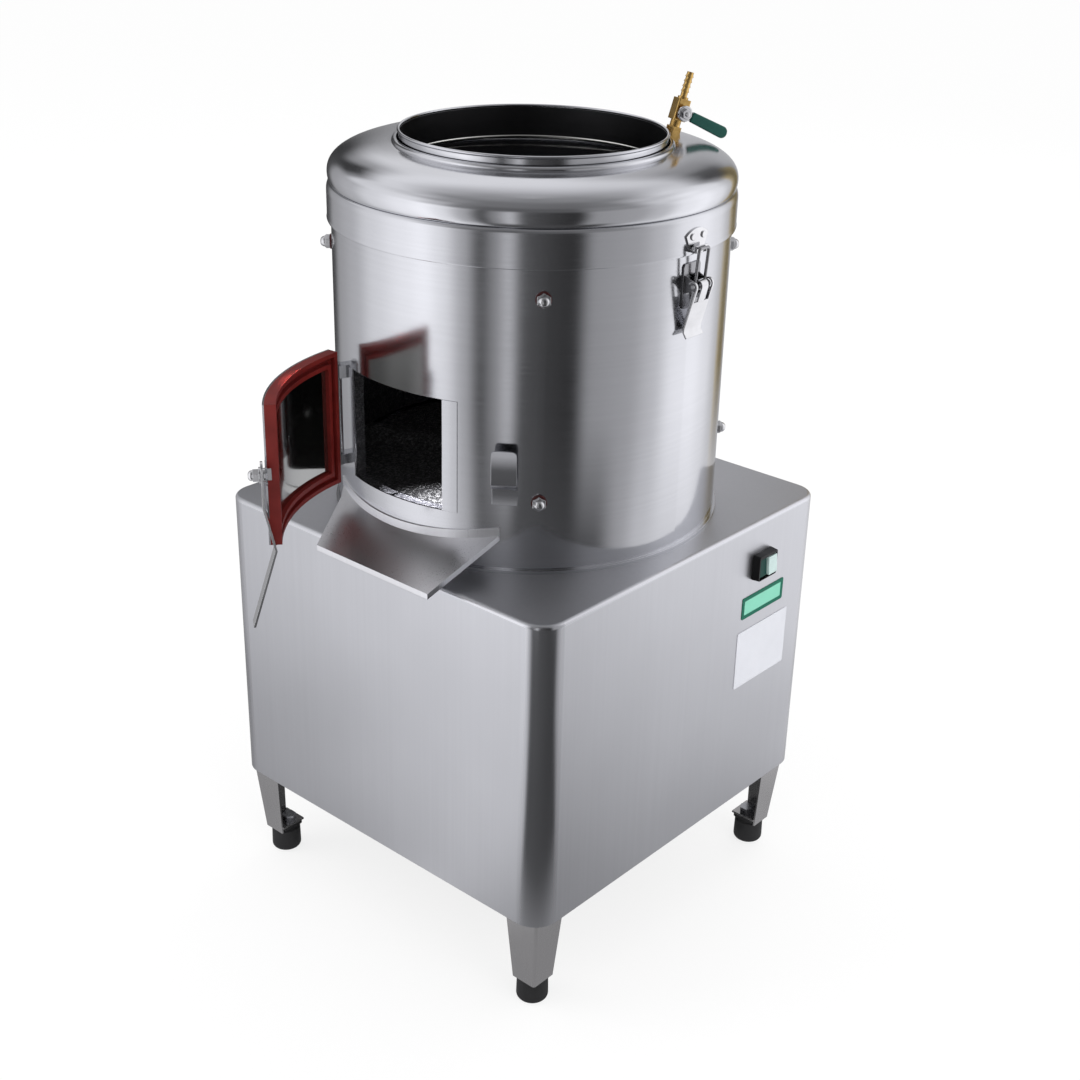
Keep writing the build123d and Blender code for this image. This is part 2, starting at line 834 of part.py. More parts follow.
def door_lever():
    bend_low = lever_pivot_z - lever_flat
    knee_low = bend_low - lever_inward_drop
    tip_low = knee_low - lever_outward_drop
    knee = lever_inner - lever_inward
    tip = knee + lever_outward
    top = lever_pivot_z + lever_above
    strip = side_profile(
        (lever_inner, top), (lever_outer, top), (lever_outer, bend_low), (knee + lever_sheet, knee_low),
        (tip + lever_sheet, tip_low), (tip, tip_low), (knee, knee_low), (lever_inner, bend_low))
    lever = extrude(strip, lever_width / 2, both=True)
    corner_edges = lever.edges().filter_by(Axis.X).group_by(Axis.Z)[-1]
    lever = fillet(corner_edges, lever_width / 2 - seat)
    hole = Pos(lever_inner, 0, lever_pivot_z) * Rot(0, 90, 0)
    lever -= hole * disc(lever_bolt_radius + running_fit, -overrun, lever_sheet + overrun)
    return door_rest() * Rot(0, 0, lever_angle) * lever


# Lid


def dome_curve(drop, inset):
    """Side view of the dome, from the seam up and in to the flat crown."""
    low, high = lid_seam + lid_sheet, lid_dome_top - drop
    radius = lid_radius - inset
    side = low + lid_dome_side_share * (high - low)
    crown = lid_dome_flat_radius + lid_dome_crown_share * (radius - lid_dome_flat_radius)
    return Bezier((radius, low), (radius, side), (crown, high), (lid_dome_flat_radius, high))


def dome_solid(drop, inset):
    """Everything under the dome's outer or inner face, down to the seam."""
    low = lid_seam + lid_sheet
    high = lid_dome_top - drop
    close = Polyline((lid_dome_flat_radius, high), (0, high), (0, low), (lid_radius - inset, low))
    return revolve(Plane.XZ * make_face(dome_curve(drop, inset).edges() + close.edges()), axis=Axis.Z)


def lid_dome():
    shell = dome_solid(0, 0) - dome_solid(lid_sheet, lid_sheet)
    seat_inner = lid_inner - lid_seat_width
    shell += ring(seat_inner, lid_radius, lid_seam, lid_seam + lid_sheet)
    shell += ring(seat_inner, lid_inner - seat, drum_top + lid_seat_gap, lid_seam + lid_sheet)
    collar = lathe(
        (neck_outer, lid_dome_top - lid_sheet), (neck_outer + neck_collar_outer, lid_dome_top - lid_sheet),
        (neck_outer + neck_collar_outer, lid_dome_top), (neck_outer + neck_collar_inner,
        lid_dome_top + neck_collar_height), (neck_outer, lid_dome_top + neck_collar_height))
    shell = shell + collar
    shell -= disc(neck_outer + seat, drum_top, neck_rim_z)
    return shell - valve_seat() * disc(nozzle_thread_radius + seat, -nozzle_depth, overrun)


def lid_skirt():
    skirt = ring(lid_inner, lid_radius, lid_skirt_bottom, lid_seam)
    for height in (lid_skirt_bottom + lid_bead, lid_seam - lid_bead):
        bead = Plane.XZ * (Pos(lid_radius, height) * Circle(lid_bead))
        skirt += revolve(bead, axis=Axis.Z) - disc(lid_inner + seat, lid_skirt_bottom, lid_seam)
    return skirt


def feed_neck():
    neck = ring(neck_bore, neck_outer, lid_dome_top - neck_drop, neck_rim_z)
    rim = Plane.XZ * (Pos(neck_bore + neck_rim, neck_rim_z) * Circle(neck_rim))
    return neck + revolve(rim, axis=Axis.Z)


def striker():
    low = lid_skirt_bottom + striker_low
    wide, crown = lid_skirt_bottom + striker_wide, lid_skirt_bottom + striker_wide + striker_crown
    outline = make_face([
        Line((-striker_half_low, low), (striker_half_low, low)),
        Line((striker_half_low, low), (striker_half_top, wide)),
        ThreePointArc((striker_half_top, wide), (0, crown), (-striker_half_top, wide)),
        Line((-striker_half_top, wide), (-striker_half_low, low))])
    outer = lid_radius + striker_sheet
    plate = extrude(Plane.YZ * outline, outer + overrun)
    plate = plate & ring(lid_radius, outer, lid_skirt_bottom, lid_seam)
    plate = plate & block(0, 2 * outer, -outer, outer, lid_skirt_bottom, lid_seam)
    hook_low, hook_out = low - striker_hook_low, lid_radius + striker_hook_out
    hook_high, lip_in = hook_low + striker_hook_height, hook_out - striker_sheet
    hook = side_profile(
        (lid_radius, low + striker_sheet), (lid_radius, hook_low), (hook_out, hook_low),
        (hook_out, hook_high), (lip_in, hook_high), (lip_in, hook_low + striker_sheet),
        (outer, hook_low + striker_sheet), (outer, low + striker_sheet))
    return plate + (extrude(hook, striker_hook_half, both=True) - disc(lid_radius, 0, lid_dome_top))


def latch_strikers():
    pieces = []
    rivet = round_edges(disc(rivet_radius, -overrun, rivet_height), -1, rivet_height / 2)
    outward = lid_radius + striker_sheet
    wall = disc(outward, 0, lid_dome_top)
    height = lid_skirt_bottom + rivet_up
    for turn in (0, 180):
        plate = striker()
        for side in (-1, 1):
            place = pointing_out(side * arc_angle(rivet_spread, lid_radius), outward, height)
            pieces.append(Rot(0, 0, turn) * (place * rivet - wall))
        pieces.append(Rot(0, 0, turn) * plate)
    return group(*pieces)


# Water valve


def water_valve_body():
    neck_low, body_low = valve_nut_height, valve_nut_height + valve_neck_height
    body_high = body_low + valve_body_height
    barb_low, barb_high = body_high + barb_gap, body_high + barb_gap + barb_length
    body = disc(valve_bung_radius, -valve_bung_depth, 0) + hexagon(valve_nut_across, -seat, neck_low)
    body += disc(valve_neck_radius, neck_low - seat, body_low + seat)
    square = RectangleRounded(valve_body_side, valve_body_side, valve_body_round)
    body += extrude(Pos(0, 0, body_low) * square, valve_body_height)
    body += disc(valve_neck_radius, body_high - seat, barb_low)
    body += disc(barb_radius, barb_low - seat, barb_high)
    step = barb_length / (barb_count + 1)
    for index in range(1, barb_count + 1):
        cone = Cone(barb_radius + barb_ring, barb_radius, step / 2, align=upright)
        body += Pos(0, 0, barb_low + index * step) * cone
    stem_z = body_low + valve_stem_up
    front = -valve_body_side / 2
    stem_place = Pos(0, front, stem_z) * Rot(90, 0, 0)
    gland = disc(valve_gland_radius, -seat, valve_gland_height)
    bore_radius, bore_end = valve_stem_radius + running_fit, valve_gland_height + overrun
    bore = disc(bore_radius, -valve_stem_depth, bore_end)
    body = valve_seat() * (body + stem_place * gland - stem_place * bore)
    return body - dome_solid(0, 0)


def spray_nozzle():
    cap_low = -nozzle_depth
    nozzle = disc(nozzle_radius, cap_low, 0)
    tip = Cone(nozzle_tip_radius, nozzle_radius, nozzle_tip_depth, align=upright)
    nozzle += Pos(0, 0, cap_low - nozzle_tip_depth) * tip
    nozzle = (valve_seat() * nozzle) & dome_solid(lid_sheet, lid_sheet)
    thread = valve_seat() * disc(nozzle_thread_radius, cap_low, overrun)
    return nozzle + (thread & dome_solid(seat, seat))


def handle_place():
    """At the valve's stem: +X runs along the handle and -Y is the stem's axis."""
    stem_z = valve_nut_height + valve_neck_height + valve_stem_up
    front = -valve_body_side / 2 - valve_gland_height - moving_gap
    return valve_seat() * Pos(0, front, stem_z) * Rot(0, handle_droop, 0)


def valve_handle():
    strip_end = handle_length - grip_round - handle_sheet
    strip = Circle(handle_width / 2) + Rectangle(strip_end, handle_width, align=(Align.MIN, Align.CENTER))
    strip_plate = Rot(90, 0, 0) * extrude(strip, handle_sheet)
    cap = Pos(0, -handle_sheet, 0) * Rot(90, 0, 0) * hexagon(valve_cap_across, -seat, valve_cap_height)
    stem_length = valve_stem_depth + valve_gland_height
    stem = Rot(90, 0, 0) * disc(valve_stem_radius, -stem_length, 0)
    return handle_place() * (strip_plate + cap + stem)


def valve_grip():
    start = handle_length - grip_length
    straight = grip_length - grip_width / 2
    flat = Pos(start, 0) * Rectangle(straight, grip_width, align=(Align.MIN, Align.CENTER))
    flat += Pos(handle_length - grip_width / 2, 0) * Circle(grip_width / 2)
    grip = extrude(flat, grip_thickness)
    grip = fillet(grip.faces().filter_by(Axis.Z).edges(), grip_round)
    middle = (grip_thickness - handle_sheet) / 2
    grip = Pos(0, middle, 0) * Rot(90, 0, 0) * grip
    strip_end = handle_length - grip_round - handle_sheet
    pocket_half = handle_width / 2 + seat
    pocket = block(start - overrun, strip_end + seat, -handle_sheet - seat, seat, -pocket_half, pocket_half)
    return handle_place() * (grip - pocket)


# Toggle latches


def latch_base():
    high = latch_base_low + latch_base_height
    half = arc_angle(latch_half_width, drum_radius)
    outer = drum_radius + latch_sheet
    plate = curved_plate(drum_radius, outer, latch_base_low, high, -half, half)
    root = drum_radius + seat
    ear = side_disc(latch_ear_radius, latch_pivot_x, latch_pivot_z)
    ear += side_profile(
        (root, latch_pivot_z - latch_ear_root), (latch_pivot_x, latch_pivot_z - latch_ear_radius),
        (latch_pivot_x, latch_pivot_z + latch_ear_radius), (root, latch_pivot_z + latch_ear_root))
    ear -= side_disc(latch_pin_radius + latch_pin_fit, latch_pivot_x, latch_pivot_z)
    ears = extrude(ear, latch_ear_inner + latch_ear_sheet, both=True)
    ears -= block(0, 2 * drum_radius, -latch_ear_inner, latch_ear_inner, latch_base_low, high)
    return plate + ears


def latch_bases():
    return group(*[Rot(0, 0, turn) * latch_base() for turn in (0, 180)])


def latch_lever(turn):
    """A handle plate, slotted at the top so that the loop can swing out through it."""
    top = (latch_pivot_x + latch_lever_top_out, latch_pivot_z + latch_lever_top_up)
    tip = (latch_pivot_x - latch_lever_tip_in, latch_pivot_z - latch_lever_tip_down)
    curl = (tip[0] + latch_curl_out, tip[1] - latch_curl_down)
    back = latch_sheet
    slot_low = latch_pivot_z - latch_slot_down
    slot_share = (top[1] - slot_low) / (top[1] - tip[1])
    slot_out = top[0] + (tip[0] - top[0]) * slot_share
    cheek_inner = latch_ear_inner + latch_ear_sheet + moving_gap
    cheek_outer = cheek_inner + latch_sheet
    far, high = 2 * drum_radius, drum_top
    plate = side_profile(
        top, tip, curl, (curl[0] - back, curl[1]), (tip[0] - back, tip[1]), (top[0] - back, top[1]))
    lever = extrude(plate, latch_lever_half, both=True)
    lever -= block(0, far, -cheek_inner, cheek_inner, slot_low, high)
    cheek = side_disc(latch_cheek_radius, latch_pivot_x, latch_pivot_z)
    cheek += side_profile(
        (latch_pivot_x - latch_cheek_radius, latch_pivot_z), (slot_out - back / 2, slot_low),
        (top[0] - back / 2, top[1]), (latch_pivot_x, latch_pivot_z + latch_cheek_radius))
    cheeks = extrude(cheek, cheek_outer, both=True) - block(0, far, -cheek_inner, cheek_inner, 0, high)
    pins = extrude(side_disc(latch_pin_radius, latch_pivot_x, latch_pivot_z), cheek_outer, both=True)
    pins -= block(0, far, -latch_ear_inner, latch_ear_inner, 0, high)
    saddle_radius = loop_wire + loop_fit + loop_saddle_wall
    saddle = side_disc(saddle_radius, loop_pivot_x, loop_pivot_z)
    saddle += side_profile(
        (loop_pivot_x - back, loop_pivot_z - loop_wire), (slot_out - back, slot_low - 2 * back),
        (slot_out, slot_low - 2 * back), (loop_pivot_x + back, loop_pivot_z - loop_wire))
    saddle -= side_disc(loop_wire + loop_fit, loop_pivot_x, loop_pivot_z)
    return Rot(0, 0, turn) * (lever + cheeks + pins + extrude(saddle, loop_saddle_half, both=True))


def latch_loop(turn):
    length = math.hypot(loop_bar_out, loop_bar_up)
    lean = math.degrees(math.atan2(loop_bar_out, loop_bar_up))
    outline = Plane.YZ * (Pos(0, length / 2) * RectangleRounded(2 * loop_half_width, length, loop_bend))
    path = outline.wire()
    section = Plane(origin=path @ 0, z_dir=path % 0) * Circle(loop_wire)
    loop = sweep(section, path=path)
    return Rot(0, 0, turn) * Pos(loop_pivot_x, 0, loop_pivot_z) * Rot(0, lean, 0) * loop


# Bearing housing, rotor and motor


def bearing_housing():
    flange_high = cabinet_top - cabinet_sheet
    flange_low = flange_high - housing_flange_height
    low, high = cabinet_top - housing_length, cabinet_top + housing_collar_height
    housing = disc(housing_flange_radius, flange_low, flange_high)
    housing += disc(housing_collar_radius, flange_low, high)
    housing += disc(housing_body_radius, low, flange_low + seat)
    rib_root = housing_body_radius - housing_rib_sheet
    motor_space = motor_offset - motor_bell_radius - housing_body_radius
    rib_outer = housing_body_radius + motor_space * housing_rib_share
    rib_high, rib_low = flange_low + seat, flange_low - housing_rib_drop
    rib_outline = side_profile(
        (rib_root, rib_high), (rib_outer, rib_high), (rib_outer, flange_low - housing_rib_edge),
        (housing_body_radius, rib_low), (rib_root, rib_low))
    rib = extrude(rib_outline, housing_rib_sheet / 2, both=True)
    for turn in range(0, 360, 90):
        housing += Rot(0, 0, turn) * rib
    housing -= disc(bearing_radius, upper_bearing_low, high + overrun)
    housing -= disc(bearing_radius, low - overrun, lower_bearing_high)
    housing -= disc(housing_relief_radius, low, high)
    for place in housing_bolt_places():
        housing -= place * disc(bolt_hole, flange_low - overrun, cabinet_top)
    return housing


def shaft_bearings():
    bore = shaft_radius + running_fit
    upper = ring(bore, bearing_radius - seat, upper_bearing_low, upper_bearing_low + bearing_width)
    lower = ring(bore, bearing_radius - seat, lower_bearing_high - bearing_width, lower_bearing_high)
    recess = ring(bore + bearing_race, bearing_radius - bearing_race, -overrun, bearing_recess)
    bearings = []
    for bearing, bottom in ((upper, upper_bearing_low), (lower, lower_bearing_high - bearing_width)):
        top_recess = Pos(0, 0, bottom + bearing_width) * Rot(180, 0, 0) * recess
        bearings.append(bearing - Pos(0, 0, bottom) * recess - top_recess)
    return group(*bearings)


def shaft_seal():
    high = cabinet_top + housing_collar_height - seal_ring_depth
    return ring(shaft_radius + moving_gap, bearing_radius - seat, high - seal_ring_height, high)


def main_shaft():
    step, carrier_high = hub_low, hub_low + hub_height + carrier_sheet
    shaft = disc(shaft_radius, shaft_low, step) + disc(shaft_step_radius, step, carrier_high)
    return shaft + disc(shaft_thread_radius, carrier_high, carrier_high + disc_thickness)


def disc_carrier():
    plate_low, plate_high = hub_low + hub_height, hub_low + hub_height + carrier_sheet
    carrier = disc(hub_radius, hub_low, plate_low) + disc(carrier_radius, plate_low, plate_high)
    slinger_low = cabinet_top + housing_collar_height - hub_height
    carrier += ring(slinger_radius - slinger_sheet, slinger_radius, slinger_low, plate_low)
    sweeper_low = drum_floor_top + sweeper_gap
    half = sweeper_sheet / 2
    for turn in (0, 180):
        blade = block(slinger_radius - half, sweeper_tip, -half, half, sweeper_low, plate_low)
        carrier += Rot(0, 0, turn) * blade
    return carrier - disc(shaft_step_radius + seat, hub_low - overrun, plate_high + overrun)


def disc_hump():
    """A ridge that widens outward, cut from a cone that lies along the disc's underside."""
    outer_radius = disc_thickness + disc_hump_height
    root_radius = disc_thickness + disc_hump_height * disc_hump_root_share
    cone = Cone(root_radius, outer_radius, disc_hump_outer - disc_hump_inner, align=upright)
    ridge = Pos(disc_hump_inner, 0, disc_low) * Rot(0, 90, 0) * cone
    end = Pos(disc_hump_outer, 0, disc_low) * Sphere(outer_radius)
    ridge = ridge + end
    return ridge & disc(carrier_radius, disc_low, disc_low + outer_radius)


def abrasive_disc():
    plate = disc(carrier_radius, disc_low, disc_low + disc_thickness)
    for index in range(disc_hump_count):
        plate += Rot(0, 0, 90 + index * 360 / disc_hump_count) * disc_hump()
    return plate - disc(disc_bore, disc_low - overrun, drum_top)


def disc_nut():
    nut = round_edges(disc(disc_nut_radius, disc_low, disc_low + disc_nut_height), -1, disc_nut_round)
    return nut - disc(shaft_thread_radius + seat, disc_low - overrun, disc_low + disc_thickness + seat)


def belt_groove(pitch):
    """The space that a pulley leaves for the belt, turned about +Z at the origin."""
    slope = (belt_top - belt_bottom) / 2 / (belt_above_pitch + belt_below_pitch)
    floor = pitch - belt_below_pitch - belt_floor_gap
    outside = pitch + pulley_land + overrun
    floor_half = belt_bottom / 2 + belt_side_gap - belt_floor_gap * slope
    outside_half = floor_half + (outside - floor) * slope
    return lathe(
        (floor, -floor_half), (outside, -outside_half), (outside, outside_half), (floor, floor_half))


def driven_pulley():
    high, middle = pulley_low + pulley_width, pulley_low + pulley_width / 2
    outer, rim_inner = pulley_pitch + pulley_land, pulley_pitch - pulley_rim
    pulley = ring(rim_inner, outer, pulley_low, high) - Pos(0, 0, middle) * belt_groove(pulley_pitch)
    web = disc(rim_inner + seat, middle - pulley_web / 2, middle + pulley_web / 2)
    hole_circle = (pulley_hub_radius + rim_inner) / 2
    hole_radius = (rim_inner - pulley_hub_radius) * pulley_hole_share
    for index in range(pulley_hole_count):
        place = Rot(0, 0, index * 360 / pulley_hole_count) * Pos(hole_circle, 0, 0)
        web -= place * disc(hole_radius, pulley_low, high)
    hub_start = shaft_low + pulley_hub_inset
    hub_end = hub_start + pulley_hub_length
    pulley = pulley + web + disc(pulley_hub_radius, hub_start, hub_end)
    return pulley - disc(shaft_radius + seat, hub_start - overrun, hub_end + overrun)


def motor_pulley():
    high, middle = pulley_low + pulley_width, pulley_low + pulley_width / 2
    pulley = disc(motor_pulley_pitch + pulley_land, pulley_low, high)
    pulley -= Pos(0, 0, middle) * belt_groove(motor_pulley_pitch)
    hub_high = high + motor_pulley_hub_height
    pulley += disc(motor_pulley_hub, high - seat, hub_high)
    pulley -= disc(motor_shaft_radius + seat, pulley_low - overrun, hub_high + overrun)
    return Pos(0, motor_offset, 0) * pulley


def drive_belt():
    lean = math.acos((pulley_pitch - motor_pulley_pitch) / motor_offset)
    across, along = math.sin(lean), math.cos(lean)
    large_right = (pulley_pitch * across, pulley_pitch * along)
    large_left = (-pulley_pitch * across, pulley_pitch * along)
    small_right = (motor_pulley_pitch * across, motor_offset + motor_pulley_pitch * along)
    small_left = (-motor_pulley_pitch * across, motor_offset + motor_pulley_pitch * along)
    path = Wire([
        Line(large_right, small_right),
        ThreePointArc(small_right, (0, motor_offset + motor_pulley_pitch), small_left),
        Line(small_left, large_left),
        ThreePointArc(large_left, (0, -pulley_pitch), large_right)])
    half_top, half_bottom = belt_top / 2, belt_bottom / 2
    section = Polygon(
        (-belt_below_pitch, -half_bottom), (belt_above_pitch, -half_top),
        (belt_above_pitch, half_top), (-belt_below_pitch, half_bottom), align=None)
    start = Plane(origin=(*large_right, 0), x_dir=(across, along, 0), z_dir=(-along, across, 0))
    return Pos(0, 0, pulley_low + pulley_width / 2) * sweep(start * section, path=path)


def motor_shaft():
    high = motor_plate_low + motor_plate_sheet + motor_shaft_depth
    return Pos(0, motor_offset, 0) * disc(motor_shaft_radius, shaft_low, high)


def motor_housing():
    low = motor_plate_low + motor_plate_sheet
    body_low, body_high = low + motor_flange_height, low + motor_flange_height + motor_body_height
    motor = disc(motor_flange_radius, low, body_low)
    motor += disc(motor_body_radius, body_low - seat, body_high)
    bell = disc(motor_bell_radius, body_high - seat, body_high + motor_bell_height)
    motor += round_edges(bell, -1, motor_bell_round)
    half, root = motor_fin_sheet / 2, motor_body_radius - motor_fin_sheet / 2
    fin = block(root, motor_bell_radius, -half, half, body_low - seat, body_high)
    for index in range(motor_fin_count):
        motor += Rot(0, 0, index * 360 / motor_fin_count) * fin
    motor -= disc(motor_shaft_radius + running_fit, low - overrun, low + motor_shaft_depth + bearing_recess)
    motor = Pos(0, motor_offset, 0) * motor
    for place in motor_bolt_places():
        motor -= place * disc(bolt_hole, low - overrun, motor_plate_low + bolt_length + bearing_recess)
    box_outline = RectangleRounded(terminal_width, terminal_depth, terminal_round)
    box = Pos(0, 0, body_low + terminal_up) * extrude(box_outline, terminal_height)
    box = Pos(-motor_bell_radius - terminal_depth / 2 - seat, motor_offset, 0) * Rot(0, 0, 90) * box
    return group(motor, box)


def motor_plate():
    low, high = motor_plate_low, motor_plate_low + motor_plate_sheet
    plate = block(-motor_plate_half, motor_plate_half, motor_plate_front, motor_plate_back, low, high)
    plate -= Pos(0, motor_offset, 0) * disc(motor_plate_hole, low - overrun, high + overrun)
    for place in motor_bolt_places():
        plate -= place * disc(bolt_hole, low - overrun, high + overrun)
    return plate


def motor_rails():
    wall, low, high = cabinet_inside, motor_plate_low - rail_width, motor_plate_low
    upright_leg = block(wall - rail_sheet, wall, rail_front, rail_back, low, high)
    shelf = block(wall - rail_width, wall, rail_front, rail_back, high - rail_sheet, high)
    rail = upright_leg + shelf
    return group(rail, mirror(rail, about=Plane.YZ))


# Drain, switch and cable gland


def drain_outlet():
    pipe = ring(drain_radius - drain_sheet, drain_radius, 0, drain_end)
    pipe += ring(drain_radius - seat, drain_collar_radius, 0, drum_radius + drain_collar_width)
    pipe = Pos(0, 0, cabinet_top + drain_up) * Rot(-90, 0, 0) * pipe
    base_edge = drum_radius + drum_base_ring + moving_gap
    pipe -= disc(base_edge, 0, cabinet_top + drum_base_ring + moving_gap)
    return pipe - disc(drum_radius, 0, drum_top)


def switch_bezel():
    half_width, half_height = switch_window_width / 2, switch_window_height / 2
    face = extrude(RectangleRounded(switch_side, switch_side, switch_round), switch_depth)
    face = round_edges(face, -1, switch_round / 2)
    body_side = switch_cutout - 2 * switch_body_gap
    body = extrude(Rectangle(body_side, body_side), -switch_body_depth)
    low, high = -switch_pocket_depth, switch_depth + overrun
    pocket = block(-half_height, half_height, -half_width, half_width, low, high)
    bore_length = switch_window_width + 2 * (rocker_pin_depth + moving_gap)
    pin_bore = Rot(90, 0, 0) * Cylinder(rocker_pin_radius + running_fit, bore_length)
    bezel = face + body - pocket - Pos(0, 0, rocker_pivot_out) * pin_bore
    return Pos(cabinet_half, switch_y, switch_z) * Rot(0, 90, 0) * bezel


def switch_rocker():
    half = rocker_half_height
    back, crown = -rocker_back, rocker_crown
    outline = side_profile((back, -half), (0, -half), (crown, 0), (0, half), (back, half))
    rocker = extrude(outline, switch_window_width / 2 - rocker_side_gap, both=True)
    rocker += Rot(90, 0, 0) * Cylinder(rocker_pin_radius, switch_window_width + 2 * rocker_pin_depth)
    return Pos(cabinet_half + rocker_pivot_out, switch_y, switch_z) * Rot(0, -rocker_tilt, 0) * rocker


def cable_gland():
    low, high = -cabinet_sheet - gland_nut_height, gland_nut_height + gland_cap_height
    body = disc(gland_radius, low, gland_nut_height) + hexagon(gland_nut_across, 0, gland_nut_height)
    body += hexagon(gland_nut_across, low, -cabinet_sheet)
    body += round_edges(disc(gland_radius, gland_nut_height - seat, high), -1, gland_bore / 2)
    body -= disc(gland_bore, low - overrun, high + overrun)
    return Pos(gland_x, cabinet_half, gland_z) * Rot(-90, 0, 0) * body


# Every piece under its own name

corners = {"rear_right": 0, "rear_left": 90, "front_left": 180, "front_right": 270}
sides = {"right": 0, "left": 180}

pieces = {
    "base_cabinet": base_cabinet(),
    "frame_bolts": frame_bolts(),
    "drum_shell": drum_shell(),
    "drum_floor": drum_floor(),
    "opening_jambs": opening_jambs(),
    "liner_bolts": liner_bolts(),
    "liner_washers": liner_washers(),
    "discharge_chute": discharge_chute(),
    "door_catch": door_catch(),
    "door_hinge_brackets": door_hinge_brackets(),
    "door_hinge_pin": door_hinge_pin(),
    "door_panel": door_panel(),
    "door_inner_panel": door_inner_panel(),
    "door_seal": door_seal(),
    "door_hinge_barrel": door_hinge_barrel(),
    "door_lever_bolt": door_lever_bolt(),
    "door_lever": door_lever(),
    "lid_dome": lid_dome(),
    "lid_skirt": lid_skirt(),
    "feed_neck": feed_neck(),
    "latch_strikers": latch_strikers(),
    "latch_bases": latch_bases(),
    "water_valve_body": water_valve_body(),
    "spray_nozzle": spray_nozzle(),
    "valve_handle": valve_handle(),
    "valve_grip": valve_grip(),
    "bearing_housing": bearing_housing(),
    "shaft_bearings": shaft_bearings(),
    "shaft_seal": shaft_seal(),
    "main_shaft": main_shaft(),
    "disc_carrier": disc_carrier(),
    "abrasive_disc": abrasive_disc(),
    "disc_nut": disc_nut(),
    "driven_pulley": driven_pulley(),
    "motor_pulley": motor_pulley(),
    "drive_belt": drive_belt(),
    "motor_shaft": motor_shaft(),
    "motor_housing": motor_housing(),
    "motor_plate": motor_plate(),
    "motor_rails": motor_rails(),
    "drain_outlet": drain_outlet(),
    "switch_bezel": switch_bezel(),
    "switch_rocker": switch_rocker(),
    "cable_gland": cable_gland(),
}
for corner, turn in corners.items():
    pieces[f"leg_{corner}"] = leg(turn)
    pieces[f"foot_{corner}"] = foot(turn)
for name, centre in liner_centres().items():
    pieces[name] = liner_panel(centre)
for side, turn in sides.items():
    pieces[f"latch_lever_{side}"] = latch_lever(turn)
    pieces[f"latch_loop_{side}"] = latch_loop(turn)

os.makedirs("parts", exist_ok=True)
for name, shape in pieces.items():
    save(name, shape)
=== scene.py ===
"""Looks for the potato peeler machine: finishes, the pieces that replace plainer ones, studio and camera.

Everything is in metres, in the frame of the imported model: +Z up, the origin on the floor under the drum's
centre, the discharge opening towards -Y.
"""

import json
import math

import bmesh
import bpy
from mathutils import Matrix, Vector


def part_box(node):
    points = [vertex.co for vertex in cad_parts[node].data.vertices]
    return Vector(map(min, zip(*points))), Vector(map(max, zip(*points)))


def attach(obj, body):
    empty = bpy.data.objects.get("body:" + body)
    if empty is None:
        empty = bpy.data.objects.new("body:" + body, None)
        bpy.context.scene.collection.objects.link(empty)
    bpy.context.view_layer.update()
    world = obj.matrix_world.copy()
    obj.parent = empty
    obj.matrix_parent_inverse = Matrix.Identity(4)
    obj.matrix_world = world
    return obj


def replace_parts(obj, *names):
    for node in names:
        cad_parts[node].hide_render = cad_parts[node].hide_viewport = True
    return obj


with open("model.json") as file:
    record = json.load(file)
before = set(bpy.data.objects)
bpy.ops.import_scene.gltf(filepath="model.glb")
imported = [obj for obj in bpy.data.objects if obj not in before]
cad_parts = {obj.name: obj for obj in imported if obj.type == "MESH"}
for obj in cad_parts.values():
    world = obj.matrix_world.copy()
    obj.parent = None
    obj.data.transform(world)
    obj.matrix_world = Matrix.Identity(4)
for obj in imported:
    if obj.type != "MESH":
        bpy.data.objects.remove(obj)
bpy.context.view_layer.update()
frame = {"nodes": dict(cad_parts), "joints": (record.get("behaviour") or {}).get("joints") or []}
scene = bpy.context.scene

# Camera, solved from the photograph
lens_mm = 54.347
sensor_mm = 36.0
camera_azimuth = math.radians(40.955)
camera_elevation = math.radians(24.929)
camera_roll = math.radians(1.407)
camera_place = Vector((0.9924, -1.1207, 1.0618))
camera_reach = 100.0

# Studio
white = (1.0, 1.0, 1.0, 1.0)
world_light = 0.95
floor_size = 40.0
floor_tone = (0.96, 0.96, 0.96, 1.0)
floor_white = 0.80
lamp_size = 2.0
lamp_aim = Vector((0, 0, 0.4))
lamps = (
    ("lamp_left", (-2.2, -2.4, 2.4), 34),
    ("lamp_right", (2.8, -0.6, 2.2), 24),
    ("lamp_rear", (-0.4, 2.8, 2.6), 22),
)
beam_power = 31000
beam_width = math.radians(1.1)
beam_blend = 0.3
beam_softness = 0.03
beam_aim = Vector((0.033, -0.156, 0.462))
beam_rise = Vector((-0.62, -1.45, 2.55))

# How wide the finishes round a sharp edge
edge_radius = 0.0005

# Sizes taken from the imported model
cabinet_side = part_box("base_cabinet")[1].x
drum_low, drum_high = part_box("drum_shell")
drum_radius = (drum_high.x - drum_low.x) / 2
drum_sheet = 0.0015
liner_gap = 0.0003
drum_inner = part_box("liner_front_right")[1].x + liner_gap
drum_wall = drum_inner + drum_sheet
neck_low, neck_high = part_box("feed_neck")
neck_roll = 0.0015
neck_radius = neck_high.x - neck_roll


def joint(name):
    return next(row for row in frame["joints"] if row["name"] == name)


def joint_place(name):
    return Vector(joint(name)["pos_m"])


def link(piece):
    scene.collection.objects.link(piece)
    return piece


# Camera


